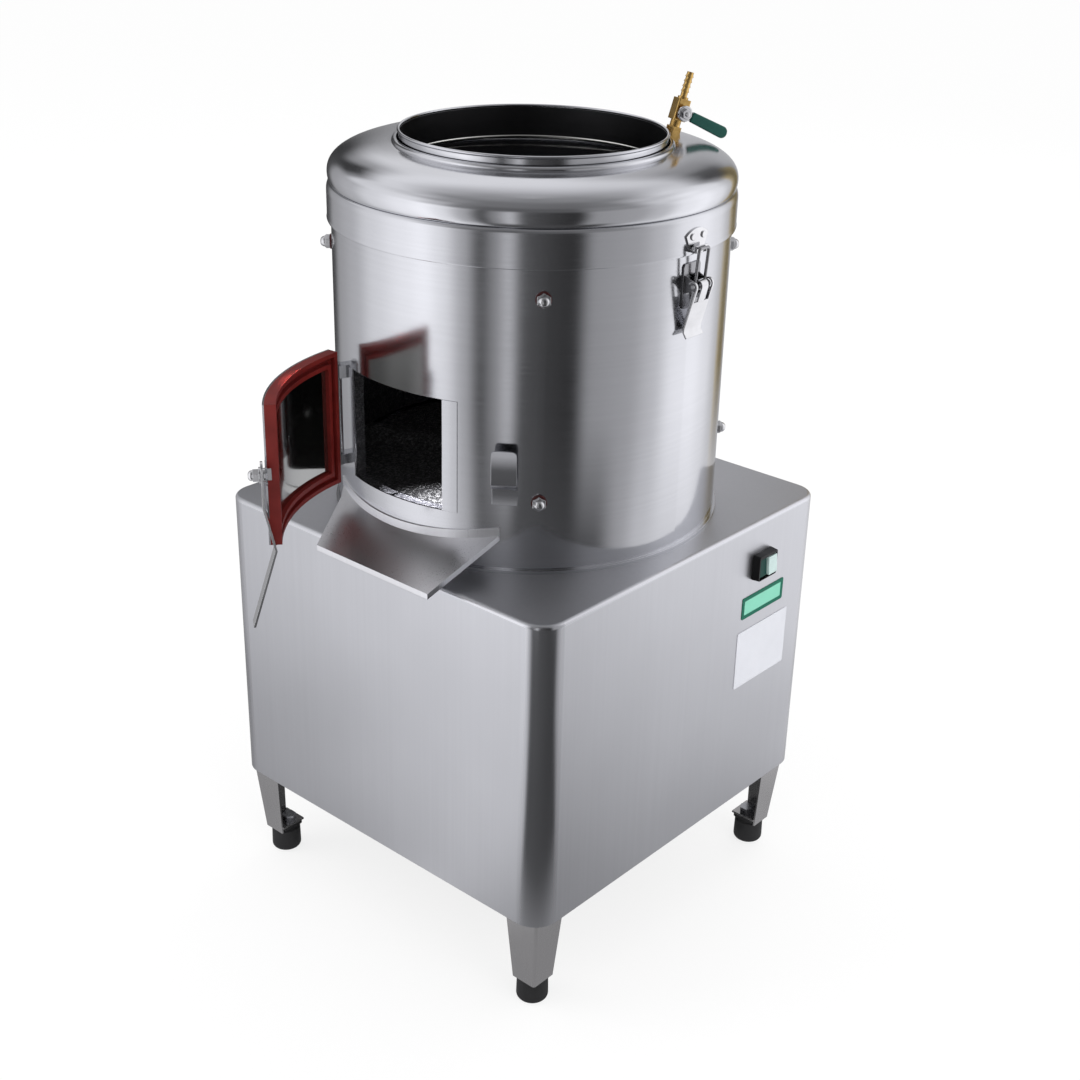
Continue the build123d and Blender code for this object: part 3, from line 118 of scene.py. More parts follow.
def make_camera():
    back = Vector((
        math.sin(camera_azimuth) * math.cos(camera_elevation),
        -math.cos(camera_azimuth) * math.cos(camera_elevation),
        math.sin(camera_elevation),
    ))
    level = Vector((math.cos(camera_azimuth), math.sin(camera_azimuth), 0))
    upright = back.cross(level)
    right = math.cos(camera_roll) * level + math.sin(camera_roll) * upright
    up = math.cos(camera_roll) * upright - math.sin(camera_roll) * level
    data = bpy.data.cameras.new("camera")
    data.lens = lens_mm
    data.sensor_width = sensor_mm
    data.clip_end = camera_reach
    camera = link(bpy.data.objects.new("camera", data))
    turn = Matrix((right, up, back)).transposed().to_4x4()
    camera.matrix_world = Matrix.Translation(camera_place) @ turn
    scene.camera = camera


# Finishes

finishes = {}


def scaled(values, factor):
    return tuple(value * factor for value in values)


class Graph:
    """The nodes of one material, with a short call for each kind of step."""

    def __init__(self, name):
        self.name = name
        self.material = bpy.data.materials.new(name)
        self.material.use_nodes = True
        self.tree = self.material.node_tree
        self.shader = self.tree.nodes["Principled BSDF"]
        coordinates = self.tree.nodes.new("ShaderNodeTexCoord")
        self.place = coordinates.outputs["Object"]
        self.facing = coordinates.outputs["Normal"]
        self.edge = self.tree.nodes.new("ShaderNodeBevel")
        self.edge.samples = 4
        self.edge.inputs["Radius"].default_value = edge_radius

    def feed(self, socket, value):
        if isinstance(value, bpy.types.NodeSocket):
            self.tree.links.new(value, socket)
        elif isinstance(value, tuple) and socket.type == "RGBA":
            socket.default_value = (*value, 1.0)
        else:
            socket.default_value = value

    def node(self, kind, settings=None, **inputs):
        """a new node with its inputs fed by name, an underscore standing for a space"""
        node = self.tree.nodes.new(kind)
        for key, value in (settings or {}).items():
            setattr(node, key, value)
        for key, value in inputs.items():
            self.feed(node.inputs[key.replace("_", " ")], value)
        return node

    def pair(self, kind, operation, first, second):
        """a node whose two inputs share one name"""
        node = self.node(kind, {"operation": operation})
        self.feed(node.inputs[0], first)
        self.feed(node.inputs[1], second)
        return node.outputs[0]

    def math(self, operation, first, second=0.0):
        return self.pair("ShaderNodeMath", operation, first, second)

    def stretch(self, vector, scale):
        return self.pair("ShaderNodeVectorMath", "MULTIPLY", vector, scale)

    def split(self, vector):
        return self.node("ShaderNodeSeparateXYZ", Vector=vector).outputs

    def noise(self, vector, scale, detail=2.0, roughness=0.5):
        return self.node(
            "ShaderNodeTexNoise", Vector=vector, Scale=scale, Detail=detail, Roughness=roughness
        ).outputs[0]

    def spread(self, value, low, high, start=0.3, end=0.7):
        """value from start to end becomes low to high"""
        return self.node(
            "ShaderNodeMapRange", Value=value, From_Min=start, From_Max=end, To_Min=low, To_Max=high
        ).outputs[0]

    def vary(self, value, middle, low, high, start=0.3, end=0.7):
        """value from start to end becomes middle times low to middle times high"""
        return self.spread(value, middle * low, middle * high, start, end)

    def mix(self, share, first, second):
        """a blend of two colours, on the sockets that a mix node has for colours"""
        node = self.node("ShaderNodeMix", {"data_type": "RGBA"})
        for index, value in ((0, share), (6, first), (7, second)):
            self.feed(node.inputs[index], value)
        return node.outputs[2]

    def tones(self, value, tone, dark, light):
        """two nearby tones, each given as a factor of one colour"""
        return self.mix(self.spread(value, low=0.0, high=1.0), scaled(tone, dark), scaled(tone, light))

    def bump(self, height, distance, strength=1.0, under=None):
        """a relief on the rounded edges, or on another relief under it"""
        normal = self.edge.outputs[0] if under is None else under
        return self.node(
            "ShaderNodeBump", Height=height, Distance=distance, Strength=strength, Normal=normal
        ).outputs[0]

    def finish(self, color, gloss, normal, **uniform):
        """Joins the steps to the shader and keeps the material under its name."""
        self.feed(self.shader.inputs["Base Color"], color)
        self.feed(self.shader.inputs["Roughness"], gloss)
        self.feed(self.shader.inputs["Normal"], normal)
        for key, value in uniform.items():
            self.shader.inputs[key.replace("_", " ")].default_value = value
        finishes[self.name] = self.material


def round_place(graph):
    """The place on a turned piece as arc length, radius and height."""
    x, y, z = graph.split(graph.place)
    squares = graph.math("ADD", graph.math("MULTIPLY", x, x), graph.math("MULTIPLY", y, y))
    radius = graph.math("SQRT", squares)
    arc = graph.math("MULTIPLY", graph.math("ARCTAN2", y, x), drum_radius)
    return graph.node("ShaderNodeCombineXYZ", X=arc, Y=radius, Z=z).outputs[0]


def sheet_steel(
    name, tone, roughness, grain, grain_depth, wave_depth=0.0, rolled=False, anisotropic=0.0, flat_top=0.0,
    flat_side=0.0
):
    """Stainless sheet. grain is the stretch of its brush lines along each axis, in lines per metre, or along
    the arc, the radius and the height where the sheet is rolled. flat_top and flat_side are how much duller a
    face is that looks up or straight to a side."""
    graph = Graph(name)
    place = round_place(graph) if rolled else graph.place
    long_grain = scaled(grain, 0.21)
    smear_size, wave_size = (9.0, 9.0, 3.0), (4.0, 4.0, 2.6)
    lines = graph.noise(graph.stretch(place, grain), scale=1.0, detail=3.0, roughness=0.6)
    long_lines = graph.noise(graph.stretch(place, long_grain), scale=1.0)
    cloud = graph.noise(graph.place, scale=5.0, detail=3.0)
    smear = graph.noise(graph.stretch(graph.place, smear_size), scale=1.0, detail=4.0, roughness=0.65)
    color = graph.tones(cloud, tone, dark=0.955, light=1.03)
    color = graph.mix(graph.spread(long_lines, low=0.0, high=0.35), color, scaled(tone, 0.93))
    gloss = graph.vary(lines, roughness, low=0.86, high=1.16)
    gloss = graph.math("ADD", gloss, graph.spread(smear, low=-0.02, high=0.035, start=0.35, end=0.7))
    sideways, forward, upward = graph.split(graph.facing)
    if flat_top:
        top = graph.spread(upward, low=0.0, high=flat_top, start=0.5, end=0.9)
        gloss = graph.math("ADD", gloss, top)
    if flat_side:
        square = graph.math("MAXIMUM", graph.math("ABSOLUTE", sideways), graph.math("ABSOLUTE", forward))
        side = graph.spread(square, low=0.0, high=flat_side, start=0.975, end=0.999)
        gloss = graph.math("ADD", gloss, side)
    normal = graph.bump(lines, grain_depth)
    if wave_depth:
        wave = graph.noise(graph.stretch(graph.place, wave_size), scale=1.0, detail=1.0)
        normal = graph.bump(wave, wave_depth, under=normal)
    if anisotropic:
        tangent = graph.node("ShaderNodeTangent", {"direction_type": "RADIAL", "axis": "Z"})
        graph.feed(graph.shader.inputs["Tangent"], tangent.outputs[0])
    graph.finish(color, gloss, normal, Metallic=1.0, Anisotropic=anisotropic)


def grained(name, tone, roughness, grain, depth, cloud, tones, glosses, **uniform):
    """A surface with a fine grain of some depth, and with patches that differ a little. grain and cloud each
    hold a noise's scale, detail and roughness; tones and glosses hold the factors of the patches."""
    graph = Graph(name)
    skin = graph.noise(graph.place, *grain)
    patches = graph.noise(graph.place, *cloud)
    color = graph.tones(patches, tone, *tones)
    gloss = graph.vary(patches, roughness, *glosses)
    graph.finish(color, gloss, graph.bump(skin, depth), **uniform)


def machined_steel(name, tone, roughness):
    """Turned, drawn or plated steel with a fine grain and faint handling marks."""
    grained(
        name, tone, roughness, grain=(900.0,), depth=0.00002, cloud=(60.0, 4.0, 0.7), tones=(0.9, 1.04),
        glosses=(0.8, 1.25), Metallic=1.0
    )


def cast_paint(name, tone, roughness, depth, scale):
    """Enamel over a sand-cast or pressed metal skin."""
    grained(
        name, tone, roughness, grain=(scale, 3.0), depth=depth, cloud=(18.0, 4.0), tones=(0.82, 1.12),
        glosses=(0.85, 1.2), Coat_Weight=0.25, Coat_Roughness=0.3
    )


def rubber(name, tone, roughness, depth=0.00006, specular=0.5):
    """Moulded rubber with a fine skin and a little bloom."""
    grained(
        name, tone, roughness, grain=(700.0, 3.0), depth=depth, cloud=(38.0, 4.0, 0.6), tones=(0.8, 1.22),
        glosses=(0.88, 1.1), Specular_IOR_Level=specular
    )


def moulding(name, tone, roughness, coat=0.0, specular=0.5):
    """Moulded plastic with spark-eroded texture."""
    grained(
        name, tone, roughness, grain=(1500.0,), depth=0.00003, cloud=(70.0, 3.0), tones=(0.9, 1.1),
        glosses=(0.85, 1.2), Coat_Weight=coat, Coat_Roughness=0.12, Specular_IOR_Level=specular
    )


def film(name, tone, roughness, specular=0.5):
    """Plastic film with a faint tooth."""
    grained(
        name, tone, roughness, grain=(2600.0,), depth=0.00001, cloud=(40.0, 3.0), tones=(0.955, 1.0),
        glosses=(0.85, 1.2), Specular_IOR_Level=specular
    )


def cast_metal(name, tone, roughness, depth):
    """Cast aluminium, tumbled, with open grain."""
    graph = Graph(name)
    grain = graph.noise(graph.place, scale=420.0, detail=4.0, roughness=0.65)
    stain = graph.noise(graph.place, scale=22.0, detail=3.0)
    color = graph.tones(stain, tone, dark=0.84, light=1.05)
    gloss = graph.vary(grain, roughness, low=0.85, high=1.2)
    graph.finish(color, gloss, graph.bump(grain, depth), Metallic=1.0)


def brass(name, tone, tarnished, roughness):
    """Brass with tool marks and a little tarnish in patches."""
    graph = Graph(name)
    mark_size = (300.0, 300.0, 1800.0)
    marks = graph.noise(graph.stretch(graph.place, mark_size), scale=1.0)
    tarnish = graph.noise(graph.place, scale=120.0, detail=4.0, roughness=0.65)
    color = graph.mix(graph.spread(tarnish, low=0.0, high=1.0, start=0.4, end=0.75), tone, tarnished)
    gloss = graph.vary(tarnish, roughness, low=0.8, high=1.6)
    graph.finish(color, gloss, graph.bump(marks, distance=0.00004), Metallic=1.0)


def abrasive_grit(name, dark, light):
    """Silicon carbide grains in a resin bed, with broken bright faces."""
    graph = Graph(name)
    depth, tint = graph.node("ShaderNodeTexVoronoi", Vector=graph.place, Scale=620.0).outputs[:2]
    grey = graph.node("ShaderNodeRGBToBW", Color=tint).outputs[0]
    bed = graph.noise(graph.place, scale=60.0, detail=4.0)
    color = graph.mix(graph.spread(grey, low=0.0, high=1.0, start=0.55, end=0.95), dark, light)
    color = graph.mix(graph.spread(bed, low=0.0, high=0.5), color, dark)
    gloss = graph.spread(grey, low=0.75, high=0.35, start=0.2, end=0.9)
    relief = graph.bump(bed, distance=0.0006)
    normal = graph.bump(depth, distance=0.0011, strength=0.9, under=relief)
    graph.finish(color, gloss, normal, Specular_IOR_Level=0.45)


steel_tone = (0.60, 0.605, 0.63)
spun_tone = (0.62, 0.625, 0.65)
brush_round = (14.0, 1500.0, 1500.0)
brush_up = (1300.0, 1300.0, 8.0)
brush_across = (8.0, 1300.0, 1300.0)

sheet_steel("satin_side", steel_tone, 0.18, brush_up, 0.000004, 0.0005, flat_top=0.26, flat_side=0.17)
sheet_steel("satin_formed", steel_tone, 0.20, brush_across, 0.000006, 0.0004)
sheet_steel("satin_chute", (0.74, 0.74, 0.76), 0.31, brush_up, 0.000006, 0.0006)
sheet_steel("leg_sheet", (0.58, 0.57, 0.57), 0.24, brush_up, 0.000010)
sheet_steel("rolled_steel", steel_tone, 0.14, brush_round, 0.000005, 0.0005, rolled=True, anisotropic=0.55)
sheet_steel("spun_steel", spun_tone, 0.13, brush_round, 0.000005, 0.0003, rolled=True, anisotropic=0.35)
# Nearly black steel for the sheet inside the feed neck: painted shade, far darker than the neck's own steel
sheet_steel("neck_shade_steel", (0.065, 0.065, 0.068), 0.36, brush_round, 0.00002, rolled=True)
sheet_steel("polished_sheet", steel_tone, 0.15, brush_across, 0.000005, 0.0002)
sheet_steel("mirror_sheet", (0.50, 0.50, 0.47), 0.09, brush_across, 0.000004, 0.0006)
machined_steel("bright_steel", (0.66, 0.66, 0.67), 0.13)
machined_steel("wire_steel", (0.30, 0.30, 0.31), 0.16)
# The hems seen inside the neck are brighter and warmer than the other steel: a painted reflection of the lit
# band there
machined_steel("hem_steel_painted_reflection", (0.80, 0.80, 0.76), 0.22)
machined_steel("zinc_bolts", (0.58, 0.59, 0.62), 0.26)
machined_steel("drive_steel", (0.42, 0.42, 0.43), 0.28)
cast_paint("cast_drive", (0.06, 0.065, 0.075), 0.45, depth=0.0003, scale=320.0)
cast_paint("motor_case", (0.05, 0.10, 0.16), 0.38, depth=0.0001, scale=500.0)
cast_metal("disc_aluminium", (0.56, 0.56, 0.57), 0.42, depth=0.0002)
# The grit's dark tones are its own dark colour and painted shade together: darkened so that the inside of the
# drum comes out black away from the beam
abrasive_grit("wall_grit_and_shade", dark=(0.012, 0.012, 0.014), light=(0.06, 0.06, 0.065))
abrasive_grit("disc_grit_and_shade", dark=(0.007, 0.007, 0.0075), light=(0.075, 0.075, 0.078))
rubber("black_rubber", (0.014, 0.014, 0.015), 0.62)
rubber("red_rubber", (0.135, 0.012, 0.010), 0.44, depth=0.00004, specular=0.22)
rubber("washer_rubber", (0.045, 0.004, 0.004), 0.45, depth=0.00003)
brass("brass_fittings", (0.70, 0.46, 0.16), (0.36, 0.21, 0.06), 0.20)
moulding("green_grip", (0.003, 0.062, 0.048), 0.40, specular=0.3)
moulding("black_plastic", (0.007, 0.007, 0.008), 0.46, specular=0.25)
moulding("green_rocker", (0.001, 0.040, 0.032), 0.40, specular=0.15)
moulding("pale_rocker", (0.46, 0.60, 0.58), 0.12, coat=0.8)
film("plate_white", (0.66, 0.67, 0.72), 0.35)
film("plate_green", (0.001, 0.125, 0.075), 0.45, specular=0.15)
film("plate_mint", (0.22, 0.62, 0.46), 0.45, specular=0.25)

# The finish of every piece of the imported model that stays
node_finishes = {
    "satin_side": ["base_cabinet"],
    "satin_formed": ["drain_outlet", "motor_plate", "motor_rails"],
    "satin_chute": ["discharge_chute"],
    "leg_sheet": ["leg_front_left", "leg_front_right", "leg_rear_left", "leg_rear_right"],
    "rolled_steel": ["drum_shell", "opening_jambs", "drum_floor"],
    "polished_sheet": ["door_panel", "door_hinge_brackets"],
    "mirror_sheet": ["door_inner_panel"],
    "bright_steel": [
        "door_hinge_pin", "door_hinge_barrel", "door_lever", "door_lever_bolt", "latch_strikers",
        "liner_bolts",
    ],
    "wire_steel": ["latch_loop_right", "latch_loop_left"],
    "zinc_bolts": ["frame_bolts"],
    "drive_steel": ["main_shaft", "motor_shaft", "shaft_bearings", "disc_nut"],
    "cast_drive": ["bearing_housing", "driven_pulley", "motor_pulley"],
    "motor_case": ["motor_housing"],
    "disc_aluminium": ["disc_carrier"],
    "wall_grit_and_shade": ["liner_front_right", "liner_front_left", "liner_rear_left", "liner_rear_right"],
    "disc_grit_and_shade": ["abrasive_disc"],
    "black_rubber": ["shaft_seal", "drive_belt"],
    "red_rubber": ["door_seal"],
    "washer_rubber": ["liner_washers"],
    "brass_fittings": ["water_valve_body", "spray_nozzle"],
    "black_plastic": ["cable_gland"],
}


def dress_nodes():
    for finish, names in node_finishes.items():
        for name in names:
            for place in frame["nodes"][name].material_slots:
                place.material = finishes[finish]


# Shapes


def band(mesh, first, second):
    """Faces between two closed loops of the same length."""
    for index in range(len(first)):
        after = (index + 1) % len(first)
        mesh.faces.new((first[index], first[after], second[after], second[index]))


def loft(mesh, loops):
    """Joins closed loops one to the next, and closes the first and the last."""
    for first, second in zip(loops, loops[1:]):
        band(mesh, first, second)
    mesh.faces.new(loops[-1])
    mesh.faces.new(loops[0][::-1])


def prism(mesh, outline, low, high, place):
    """Raises a flat outline from low to high along the +Z of place."""
    loft(mesh, [[mesh.verts.new(place @ Vector((x, y, z))) for x, y in outline] for z in (low, high)])


def ribbon(mesh, line, thickness, place):
    """A bent strip of sheet. line holds (out, up, middle, half width), and place takes (out, across, up)."""
    rows = []
    for index, (out, up, middle, half) in enumerate(line):
        side = across_line(line, index) * thickness / 2
        rows.append([
            mesh.verts.new(place @ Vector((out + way * side.x, middle + edge * half, up + way * side.y)))
            for way, edge in ((1, -1), (1, 1), (-1, 1), (-1, -1))
        ])
    loft(mesh, rows)


def turned(mesh, profile, place, sides=48, closed=False):
    """Turns a profile of (radius, height) round the +Z of place. closed joins its last point to its first."""
    on_axis = 1e-6
    rings = []
    for radius, height in profile:
        count = 1 if radius < on_axis else sides
        angles = [2 * math.pi * side / count for side in range(count)]
        rings.append([
            mesh.verts.new(place @ Vector((radius * math.cos(angle), radius * math.sin(angle), height)))
            for angle in angles
        ])
    if closed:
        rings.append(rings[0])
    for low, high in zip(rings, rings[1:]):
        for side in range(sides):
            after = (side + 1) % sides
            below = [low[index % len(low)] for index in (side, after)]
            above = [high[index % len(high)] for index in (after, side)]
            corners = list(dict.fromkeys(below + above))
            if len(corners) > 2:
                mesh.faces.new(corners)


def hem(mesh, radius, height, wire, sides=144):
    """A rolled hem: a ring of round wire about +Z."""
    steps = 12
    last = 360 - 360 / steps
    circle = oval((radius, height), wire, wire, 0, last, steps - 1)
    turned(mesh, circle, Matrix.Identity(4), sides, closed=True)


def oval(middle, reach, rise, start, end, steps=10):
    """Points on an upright oval about middle, from start to end in degrees."""
    angles = [math.radians(start + (end - start) * step / steps) for step in range(steps + 1)]
    return [(middle[0] + reach * math.cos(angle), middle[1] + rise * math.sin(angle)) for angle in angles]


def curve(points, steps=24):
    """A cubic curve through its first and last points, without the first."""
    line = []
    for step in range(1, steps + 1):
        t = step / steps
        shares = ((1 - t) ** 3, 3 * t * (1 - t) ** 2, 3 * t * t * (1 - t), t ** 3)
        line.append(tuple(sum(share * point[i] for share, point in zip(shares, points)) for i in (0, 1)))
    return line


def across_line(line, index):
    """The unit vector to the right of a line's run at one of its points."""
    before, after = line[max(index - 1, 0)], line[min(index + 1, len(line) - 1)]
    along = Vector((after[0] - before[0], after[1] - before[1])).normalized()
    return Vector((along.y, -along.x))


def sheet_profile(line, thickness):
    """A closed profile of sheet from its outer line of (radius, height), which runs up and in."""
    inner = []
    for index, (radius, height) in enumerate(line):
        outward = across_line(line, index)
        inner.append((radius - outward.x * thickness, height - outward.y * thickness))
    return line + inner[::-1]


def hexagon(across):
    return oval((0.0, 0.0), across / math.sqrt(3), across / math.sqrt(3), 0, 300, 5)


def rounded_outline(half_width, half_height, radius, quarter=6):
    outline = []
    for side, end, start in ((1, 1, 0), (-1, 1, 90), (-1, -1, 180), (1, -1, 270)):
        corner = (side * (half_width - radius), end * (half_height - radius))
        outline += oval(corner, radius, radius, start, start + 90, quarter)
    return outline


def mesh_object(name, mesh, material):
    data = bpy.data.meshes.new(name)
    mesh.to_mesh(data)
    mesh.free()
    data.materials.append(material)
    return link(bpy.data.objects.new(name, data))


def piece_from(name, mesh, finish, body):
    piece = mesh_object(name, mesh, finishes[finish])
    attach(piece, body)
    return piece


def smooth_piece(name, mesh, finish, body, angle=35.0, edge=0.0, segments=2):
    """A piece with smooth curves, and with its sharp edges broken by edge where that is given."""
    bmesh.ops.recalc_face_normals(mesh, faces=mesh.faces)
    piece = piece_from(name, mesh, finish, body)
    piece.data.polygons.foreach_set("use_smooth", [True] * len(piece.data.polygons))
    piece.data.set_sharp_from_angle(angle=math.radians(angle))
    if edge:
        rounding = piece.modifiers.new("edge", "BEVEL")
        rounding.width = edge
        rounding.segments = segments
        rounding.limit_method = "ANGLE"
        rounding.angle_limit = math.radians(angle)
        rounding.harden_normals = True
    return piece


# Pieces


def side_film(name, finish, centre, size, thickness, corner, window=None):
    """A rounded film on the cabinet's right wall. centre, size and window, the size of an open middle, are
    along the wall and up."""
    mesh = bmesh.new()

    def loop(width, height, radius, depth):
        outline = rounded_outline(width / 2, height / 2, radius)
        return [mesh.verts.new((cabinet_side + depth, centre[0] + y, centre[1] + z)) for y, z in outline]

    low, high = loop(*size, corner, 0.0), loop(*size, corner, thickness)
    if window:
        inner_low, inner_high = loop(*window, corner / 2, 0.0), loop(*window, corner / 2, thickness)
        for first, second in ((low, high), (high, inner_high), (inner_high, inner_low), (inner_low, low)):
            band(mesh, first, second)
    else:
        loft(mesh, [low, high])
    piece_from(name, mesh, finish, "frame")


def side_plates():
    """Two bare plates where the cabinet's right wall carries its labels."""
    thickness, corner = 0.0005, 0.002
    green_centre, green_size, green_window = (0.119, 0.3305), (0.0705, 0.0235), (0.0625, 0.0155)
    mint_size, mint_thickness, mint_corner = (0.0635, 0.0165), 0.00025, 0.001
    white_centre, white_size = (0.1228, 0.2735), (0.086, 0.063)
    side_film("green_plate_frame", "plate_green", green_centre, green_size, thickness, corner, green_window)
    side_film("green_plate_middle", "plate_mint", green_centre, mint_size, mint_thickness, mint_corner)
    side_film("white_plate", "plate_white", white_centre, white_size, thickness, corner)


def round_feet():
    """Round rubber feet under a smaller square flange, close in the corner of each leg."""
    flange, flange_half, flange_corner = 0.0045, 0.0130, 0.0030
    shoulder, shoulder_step, shoulder_in = 0.0013, 0.0017, 0.0004
    rounding = 0.005
    for name in ("foot_front_left", "foot_front_right", "foot_rear_left", "foot_rear_right"):
        low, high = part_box(name)
        half = (high.x - low.x) / 2
        middle = (low + high) / 2
        outward = half - flange_half
        place = Matrix.Translation((
            middle.x + math.copysign(outward, middle.x), middle.y + math.copysign(outward, middle.y), 0
        ))
        under = high.z - flange
        profile = [(0.0, low.z)] + oval((half - rounding, low.z + rounding), rounding, rounding, -90, 0, 6)
        profile += [(half - shoulder_in, under - shoulder - shoulder_step), (flange_half, under - shoulder)]
        profile += [(flange_half, under), (0.0, under)]
        mesh = bmesh.new()
        turned(mesh, profile, place)
        prism(mesh, rounded_outline(flange_half, flange_half, flange_corner, quarter=4), under, high.z, place)
        piece = smooth_piece("round_" + name, mesh, "black_rubber", "frame", edge=0.0004)
        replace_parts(piece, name)


def lid_shells():
    """The lid's skirt with a rolled shoulder, the pillowed dome above it, and the neck with a thin rim."""
    sheet, sides = 0.0012, 192
    here = Matrix.Identity(4)
    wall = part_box("lid_dome")[1].x
    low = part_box("lid_skirt")[0].z

    # A valley parts the skirt's shoulder from the dome's belly
    seam_in, seam_up = 0.0032, 0.0339
    seam_radius, seam = wall - seam_in, low + seam_up

    # The skirt's lower bead, as steps out of its wall and up from its edge
    bead = ((-0.0010, 0.0), (0.0001, 0.0003), (0.0004, 0.0012), (0.0001, 0.0026), (0.0, 0.0040))
    shoulder, shoulder_tuck = 0.0076, 0.0004
    skirt = [(wall + out, low + up) for out, up in bead]
    shoulder_reach = seam_in + shoulder_tuck
    skirt += oval((seam_radius - shoulder_tuck, seam - shoulder), shoulder_reach, shoulder, 0, 84)
    mesh = bmesh.new()
    turned(mesh, sheet_profile(skirt, sheet), here, sides, closed=True)
    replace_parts(smooth_piece("skirt_shell", mesh, "rolled_steel", "lid"), "lid_skirt")

    # The dome: its belly, the long curve over the top, and a bead round the neck's foot
    belly_in, belly_roll, belly_tuck = 0.0010, 0.0088, 0.0006
    side_pull, top_pull, top_drop = 0.0172, 0.0350, 0.0012
    crown_out, crown_up, crown_step = 0.0035, 0.0684, 0.0012
    collar, collar_in, collar_up = 0.0030, 0.0022, 0.0006
    belly, belly_up = wall - belly_in, seam + belly_roll
    crown_radius, crown = neck_radius + crown_out, low + crown_up
    belly_reach = belly - seam_radius + belly_tuck
    dome = oval((seam_radius - belly_tuck, belly_up), belly_reach, belly_roll, -84, 0)
    dome += curve((
        dome[-1], (belly, belly_up + side_pull), (crown_radius + top_pull, crown - top_drop),
        (crown_radius + crown_step, crown),
    ))
    dome += oval((crown_radius - collar_in, crown + collar_up), collar, collar, -10, 88, 8)
    dome += [(neck_radius, crown + collar_up + collar)]
    mesh = bmesh.new()
    turned(mesh, sheet_profile(dome, sheet), here, sides, closed=True)
    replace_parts(smooth_piece("dome_shell", mesh, "spun_steel", "lid", 50.0), "lid_dome")

    # The neck, with a rim of rolled wire, and a dark sheet inside it: painted shade
    rim, neck_in, rim_in, shade_lining = 0.0014, 0.0019, 0.0021, 0.0003
    outer = neck_radius - neck_in
    inner = outer - sheet
    rim_middle = neck_high.z - rim
    mesh = bmesh.new()
    turned(mesh, sheet_profile([(outer, neck_low.z), (outer, rim_middle)], sheet), here, sides, closed=True)
    hem(mesh, neck_radius - rim_in, rim_middle, rim, sides)
    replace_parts(smooth_piece("neck_shell", mesh, "spun_steel", "lid"), "feed_neck")
    mesh = bmesh.new()
    inside = sheet_profile([(inner, neck_low.z + rim), (inner, rim_middle - rim)], shade_lining)
    turned(mesh, inside, here, sides, closed=True)
    smooth_piece("neck_inside", mesh, "neck_shade_steel", "lid")


def inner_hems():
    """The rolled hems that show through the feed neck: the neck's lower edge and the drum's rim."""
    neck_wire, neck_wire_in, neck_wire_up = 0.0022, 0.0016, 0.0015
    drum_wire, drum_wire_in, drum_wire_down = 0.0013, 0.0012, 0.0040
    mesh = bmesh.new()
    hem(mesh, neck_radius - neck_wire_in, neck_low.z + neck_wire_up, neck_wire)
    smooth_piece("neck_hem", mesh, "hem_steel_painted_reflection", "lid")
    mesh = bmesh.new()
    hem(mesh, drum_inner - drum_wire_in, drum_high.z - drum_wire_down, drum_wire)
    smooth_piece("drum_rim_hem", mesh, "hem_steel_painted_reflection", "frame")


def liner_nuts():
    """Bright dome nuts over the liner's screws."""
    across, skirt, shoulder, top = 0.0116, 0.0040, 0.0052, 0.0092
    dome, root = 0.0049, 0.0030
    washer = 0.0015
    screw_ups = (0.025, 0.209)
    liner_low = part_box("liner_front_right")[0].z
    profile = [(0.0, root), (dome, root)] + oval((0.0, shoulder), dome, top - shoulder, 0, 90, 6)
    mesh = bmesh.new()
    for angle in (-135, -45, 45, 135):
        for screw_up in screw_ups:
            place = Matrix.Rotation(math.radians(angle), 4, "Z")
            place = place @ Matrix.Translation((drum_wall + washer, 0, liner_low + screw_up))
            place = place @ Matrix.Rotation(math.radians(90), 4, "Y")
            prism(mesh, hexagon(across), 0.0, skirt, place)
            turned(mesh, profile, place, 32)
    smooth_piece("liner_dome_nuts", mesh, "bright_steel", "frame", edge=0.0004)


def across_place(turn):
    """Takes (out, up, across) on one side of the drum; turn is 0 for the right side and 1 for the left."""
    return Matrix.Rotation(math.pi * turn, 4, "Z") @ Matrix(((1, 0, 0), (0, 0, -1), (0, 1, 0))).to_4x4()


def latch_base_plates():
    """A curved plate with two narrow ears for each latch."""
    half, corner, sheet = 0.012, 0.003, 0.0015
    low, high = (end.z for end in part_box("latch_bases"))
    pivot = joint_place("latch_lever_right_turn")
    ear_inner, ear_tip, ear_half, ear_lap = 0.0085, 0.0034, 0.0085, 0.0005
    columns = 16
    root = drum_wall + ear_lap
    ear = [(root, pivot.z - ear_half)]
    ear += oval((pivot.x, pivot.z), ear_tip, ear_tip, -80, 80, 8)
    ear += [(root, pivot.z + ear_half)]
    mesh = bmesh.new()
    for turn in (0, 1):
        swing = Matrix.Rotation(math.pi * turn, 4, "Z")
        rows = []
        for column in range(columns + 1):
            across = half * (2 * column / columns - 1)
            past = max(abs(across) - (half - corner), 0.0)
            trim = corner - math.sqrt(max(corner ** 2 - past ** 2, 0.0))
            inner, outer = (math.sqrt((drum_wall + depth) ** 2 - across ** 2) for depth in (0.0, sheet))
            section = ((inner, low + trim), (inner, high - trim), (outer, high - trim), (outer, low + trim))
            rows.append([mesh.verts.new(swing @ Vector((out, across, up))) for out, up in section])
        loft(mesh, rows)
        prism(mesh, ear, -ear_inner - sheet, -ear_inner, across_place(turn))
        prism(mesh, ear, ear_inner, ear_inner + sheet, across_place(turn))
    piece = smooth_piece("latch_base_plates", mesh, "wire_steel", "frame", edge=0.0003)
    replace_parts(piece, "latch_bases")


